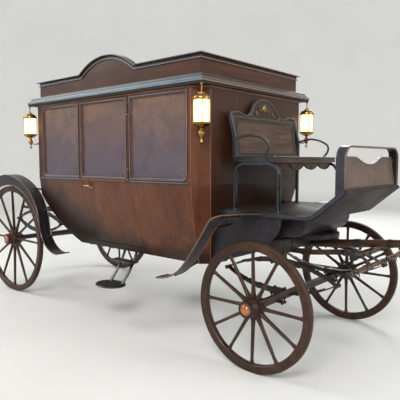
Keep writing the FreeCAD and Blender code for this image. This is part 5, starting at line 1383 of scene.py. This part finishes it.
def pump_handle_fittings():
    """Clips over the pump handles and bolts of their cross bar."""
    bm = bmesh.new()
    top = REAR_SPRING_Z + SPRING_HIGH + 0.3
    for x in (REAR_X - 360, REAR_X - 60, REAR_X + 60):
        plate(bm, x, SPRING_Y, top + 14.5, (16, 23, 16.5))
        nut(bm, at(x, SPRING_Y, top + 31), Z_AXIS, 10, 6)
    for x in (-2300, -2100, -1950):
        plate(bm, x, SPRING_Y, 624, (16, 23, 15.4))
        nut(bm, at(x, SPRING_Y, 608.6), -Z_AXIS, 10, 6)
    pair("pump_handle_fittings", bm, GEAR)


def boot_trim():
    """Edge beads and coach bolts on the boot's side boards."""
    nose, back, low, top = 46, -640, 852, FLOOR_Z - 30.3
    a, b, c = (nose, top), (nose - 54, top - 150), (nose - 101, low)
    d, e = (nose - 525, low - 64), (back, SILL + 8)
    edge = [(a, (nose - 14, top - 84), b), (b, (nose - 84, top - 178), c), (c, (nose - 330, low - 14), d),
            (d, (nose - 596, low - 134), e)]
    path = [p for p in chain(-490.5, edge, 14) if ahead(p.x) > nose_x(p.z * 1000) + 1]
    bm = bmesh.new()
    tube(bm, path, 6.2, up_hint=Y_AXIS)
    inner = [p + V((-0.020 if p.z > 0.87 else 0.0, 0, 0.024)) for p in path if p.z < top / 1000 - 0.04]
    tube(bm, inner, 2.4, 8, 1, up_hint=Y_AXIS)
    for x, z in ((-20, 1040), (-150, 1040), (-300, 1040), (-440, 1040),
                 (-60, 912), (-200, 884), (-340, 864), (-460, 832)):
        dome(bm, at(x, -490, z), RIGHT, 7.8, 4.2, 1)
    pair("boot_trim", bm, [BOOT, IRON])


spring_fittings("front_spring_fittings", 0, FRONT_SPRING_Z, "forecarriage")
spring_fittings("rear_spring_fittings", REAR_X, REAR_SPRING_Z, "coach_body")
axle_fittings("front_axle_fittings", 0, FRONT_Z, "forecarriage")
axle_fittings("rear_axle_fittings", REAR_X, REAR_Z, "coach_body")
turntable_bolts()
pole_fittings()
timber_fittings()
swingletree_fittings()
pump_handle_fittings()
boot_trim()


# Roof top and cabin inside

BENCH_HALF, PAD_HALF = 0.478, 0.47
PUFF, SWELL_FRAMES = 0.014, 20


def roof_top():
    """Canvas seams of the deck inside the parapet, with their rows of nails."""
    x0, x1, z, half = TAIL + 84, NOSE - 84, EAVE_TOP + 88, FASCIA - 24
    bm = bmesh.new()
    for k in range(1, 5):
        x = x0 + (x1 - x0) * k / 5
        sweep(bm, [at(x, -half, z), at(x, half, z)], X_AXIS, [(-14, -0.3), (-14, 1.0), (14, 1.4), (14, -0.3)])
        for y in levels(-half + 20, half - 20, 44):
            dome(bm, at(x + 8, y, z + 1.2), Z_AXIS, 2.6, 1, 1, 6)
    for y in (-half + 12, half - 12):
        sweep(bm, [at(x0, y, z), at(x1, y, z)], Y_AXIS, [(-10, -0.3), (-10, 2.2), (10, 2.2), (10, -0.3)])
    piece("roof_canvas_seams", bm, [CANVAS, STEEL])


def evaluated(obj):
    return obj.evaluated_get(bpy.context.evaluated_depsgraph_get())


def cushion(name, low, high):
    """Stuffed cushion: a rounded block remeshed finely and blown up as cloth."""
    bm = bmesh.new()
    block(bm, low, high, min(22, (high[2] - low[2]) * 300), 0, 3)
    obj = piece(name, bm, [CLOTH])
    remesh = obj.modifiers.new("remesh", "REMESH")
    remesh.mode, remesh.voxel_size = "VOXEL", 0.016
    bpy.context.view_layer.update()
    mesh = bpy.data.meshes.new_from_object(evaluated(obj))
    obj.modifiers.clear()
    obj.data = mesh
    swell(obj)
    mesh.materials.clear()
    mesh.materials.append(CLOTH)
    mesh.shade_smooth()
    return obj


def swell(obj):
    """Blows the mesh up as cloth and keeps a capped share of the movement."""
    rest = [v.co.copy() for v in obj.data.vertices]
    fabric = obj.modifiers.new("cloth", "CLOTH")
    setting = fabric.settings
    setting.use_pressure, setting.uniform_pressure_force = True, 4.0
    setting.mass, setting.quality = 0.3, 4
    setting.tension_stiffness = setting.compression_stiffness = 12
    setting.effector_weights.gravity = 0.0
    fabric.point_cache.frame_start, fabric.point_cache.frame_end = 1, SWELL_FRAMES
    scene = bpy.context.scene
    for step in range(1, SWELL_FRAMES + 1):
        scene.frame_set(step)
    moved = [v.co.copy() for v in evaluated(obj).to_mesh().vertices]
    obj.modifiers.clear()
    for vert, start, end in zip(obj.data.vertices, rest, moved):
        step = end - start
        if step.length > PUFF:
            step *= PUFF / step.length
        vert.co = start + step
    scene.frame_set(1)


def piping(name, low, high):
    """Cord sewn round the top and bottom edges of a cushion, and rows of buttons on its top."""
    bm = bmesh.new()
    corner, out = 0.03, 0.034
    (x0, y0, z0), (x1, y1, z1) = low, high
    for z in (z0 + 0.008, z1 - 0.004):
        loop = []
        for x, y, start in ((x1 - corner, y1 - corner, 0), (x0 + corner, y1 - corner, 90),
                            (x0 + corner, y0 + corner, 180), (x1 - corner, y0 + corner, 270)):
            loop += [V((x, y, z)) + flat(math.radians(start + 22.5 * k)) * out for k in range(5)]
        tube(bm, loop, 4.6, closed=True)
    for i in range(2):
        for j in range(5):
            x, y = x0 + (x1 - x0) * (i + 0.75) / 2.5, y0 + (y1 - y0) * (j + 0.5) / 5
            dome(bm, V((x, y, z1 + 0.004)), Z_AXIS, 13, 6, 0, 14)
    piece(name, bm, [CLOTH_CORD])


def cabin_inside():
    """Two padded benches with their backs, and the headlining, seen through the glass."""
    low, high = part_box("bench_cushions")
    seats = [v.co.x for v in NODES["bench_frames"].data.vertices]
    centre = (min(seats) + max(seats)) / 2
    benches = {"rear": (min(seats), max(x for x in seats if x < centre)),
               "front": (min(x for x in seats if x > centre), max(seats))}
    for name, (x0, x1) in benches.items():
        a, b = (x0 + 0.018, -BENCH_HALF, low.z + 0.004), (x1 - 0.018, BENCH_HALF, high.z - 0.014)
        cushion("cushion_" + name, a, b)
        piping("cushion_piping_" + name, (a[0] - 0.006, a[1] - 0.006, a[2]), (b[0] + 0.006, b[1] + 0.006, b[2]))
    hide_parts("bench_cushions")
    foot = high.z + 0.02
    rear, front = (at(x, 0, 0).x for x in (tail_x(foot * 1000) + 52, nose_x(foot * 1000) - 52))
    cushion("back_pad_rear", (rear, -PAD_HALF, foot), (rear + 0.08, PAD_HALF, high.z + 0.255))
    cushion("back_pad_front", (front - 0.08, -PAD_HALF, foot), (front, PAD_HALF, high.z + 0.42))
    # headlining with pleat ribs and a rose in its middle
    bm = bmesh.new()
    x0, x1 = at(TAIL + 34, 0, 0).x, at(NOSE - 34, 0, 0).x
    block(bm, (x0, -0.735, 2.044), (x1, 0.735, 2.0595), 2)
    for x in (x0 + (x1 - x0) * k / 14 for k in range(1, 14)):
        tube(bm, [V((x, -0.73, 2.0445)), V((x, 0.73, 2.0445))], 4, 6, 1)
    lathe(bm, V(((x0 + x1) / 2, 0, 2.044)), -Z_AXIS, [(0, 50), (6, 48), (10, 35), (16, 30), (20, 4)], 28, 1)
    piece("headlining", bm, [LINING, CLOTH_CORD])


roof_top()
cabin_inside()


# Softened edges of the CAD nodes that stay in view

for width, names in ((2, "dash_panel roof_fascia futchells door_steps turntable_upper"),
                     (2.5, "seat_crest driver_platform platform_bolster turntable_lower"),
                     (3, "seat_board splinter_bar pump_handles front_axle rear_axle")):
    for name in names.split():
        NODES[name].modifiers.new("weld", "WELD").merge_threshold = 0.0001
        bevel = NODES[name].modifiers.new("soft_edges", "BEVEL")
        bevel.width, bevel.segments, bevel.limit_method = width / 1000, 2, "ANGLE"
        bevel.angle_limit, bevel.harden_normals = math.radians(38), False


# Stage

def floor_material():
    """Pale floor; far off it looks as pale as near the object, without lighting it."""
    mat, tree, shader = new_material("stage_floor", rough=0.85)
    shade = ramp(noise(tree, 0.6, 3, 0.5), (0.3, linear(226, 226, 224)), (0.7, linear(232, 232, 230)))
    tree.links.new(shade, shader.inputs["Base Color"])
    level = node(tree, "VectorMath", place(tree))
    level.operation = "MULTIPLY"
    level.inputs[1].default_value = (1, 1, 0)
    far = node(tree, "VectorMath", level.outputs["Vector"])
    far.operation = "LENGTH"
    rays = node(tree, "LightPath").outputs
    seen = maths("MAXIMUM", rays["Is Camera Ray"], rays["Is Glossy Ray"])
    seen = maths("MAXIMUM", seen, rays["Is Transmission Ray"])
    glow = maths("MULTIPLY", spread(far.outputs["Value"], 5.0, 20.0, 0.0, 0.36), seen)
    tree.links.new(glow, shader.inputs["Emission Strength"])
    shader.inputs["Emission Color"].default_value = linear(236, 236, 234)
    return mat


def build_stage():
    """Floor that curves up into a wall, even sky, four soft lights, and the photo's camera."""
    bm = bmesh.new()
    bend = [(9 - 9 * math.cos(a), 22 + 9 * math.sin(a)) for a in (math.pi / 2 * k / 14 for k in range(15))]
    profile = [(0, 0.5), (0, 8)] + bend + [(40, 31)]
    lathe(bm, V((0, 0, 0)), Z_AXIS, [(far * 1000, r * 1000) for far, r in profile], 96, caps=False)
    bmesh.ops.contextual_create(bm, geom=[e for e in bm.edges if e.is_boundary and e.verts[0].co.xy.length < 1])
    mesh = bpy.data.meshes.new("stage_floor")
    bm.to_mesh(mesh)
    bm.free()
    mesh.shade_smooth()
    mesh.materials.append(floor_material())
    floor = bpy.data.objects.new("stage_floor", mesh)
    scene = bpy.context.scene
    scene.collection.objects.link(floor)
    scene.world = bpy.data.worlds.new("studio")
    scene.world.use_nodes = True
    back = scene.world.node_tree.nodes["Background"]
    back.inputs["Color"].default_value = linear(232, 232, 230)
    back.inputs["Strength"].default_value = 0.75

    def stand(name, data, spot, way):
        """Adds a light or camera that looks along way."""
        obj = bpy.data.objects.new(name, data)
        obj.location = spot
        obj.rotation_mode = "QUATERNION"
        obj.rotation_quaternion = way.to_track_quat("-Z", "Y")
        scene.collection.objects.link(obj)
        return obj
    for name, spot, target, size, power, colour in (
            ("key", (3.5, -7.5, 6.5), (-0.8, 0, 1.2), 4.0, 620, (1.0, 0.98, 0.95)),
            ("fill", (8.0, 2.0, 4.5), (0, 0, 1.0), 4.0, 260, (0.95, 0.98, 1.0)),
            ("rim", (-6.5, -3.5, 5.5), (-1.0, 0, 1.5), 4.5, 240, (1, 1, 1)),
            ("back", (-3.0, 8.0, 6.0), (-0.8, 0, 1.2), 4.0, 380, (1, 1, 1))):
        light = bpy.data.lights.new(name, "AREA")
        light.shape, light.size, light.energy, light.color = "DISK", size, power, colour
        stand(name, light, spot, V(target) - V(spot))

    # the camera fitted to the photo: its place, heading, pitch and focal length in pixels of a 400 px frame
    data = bpy.data.cameras.new("photo_camera")
    data.sensor_width, data.lens = 36.0, 36.0 * 482.03 / 400
    data.clip_start, data.clip_end = 0.05, 300
    pitch = math.radians(4.664)
    forward = V((-0.657, 0.754, 0)).normalized() * math.cos(pitch) - Z_AXIS * math.sin(pitch)
    scene.camera = stand("photo_camera", data, at(1894, -3507, 1488), forward)
    scene.view_settings.view_transform = "Standard"


build_stage()
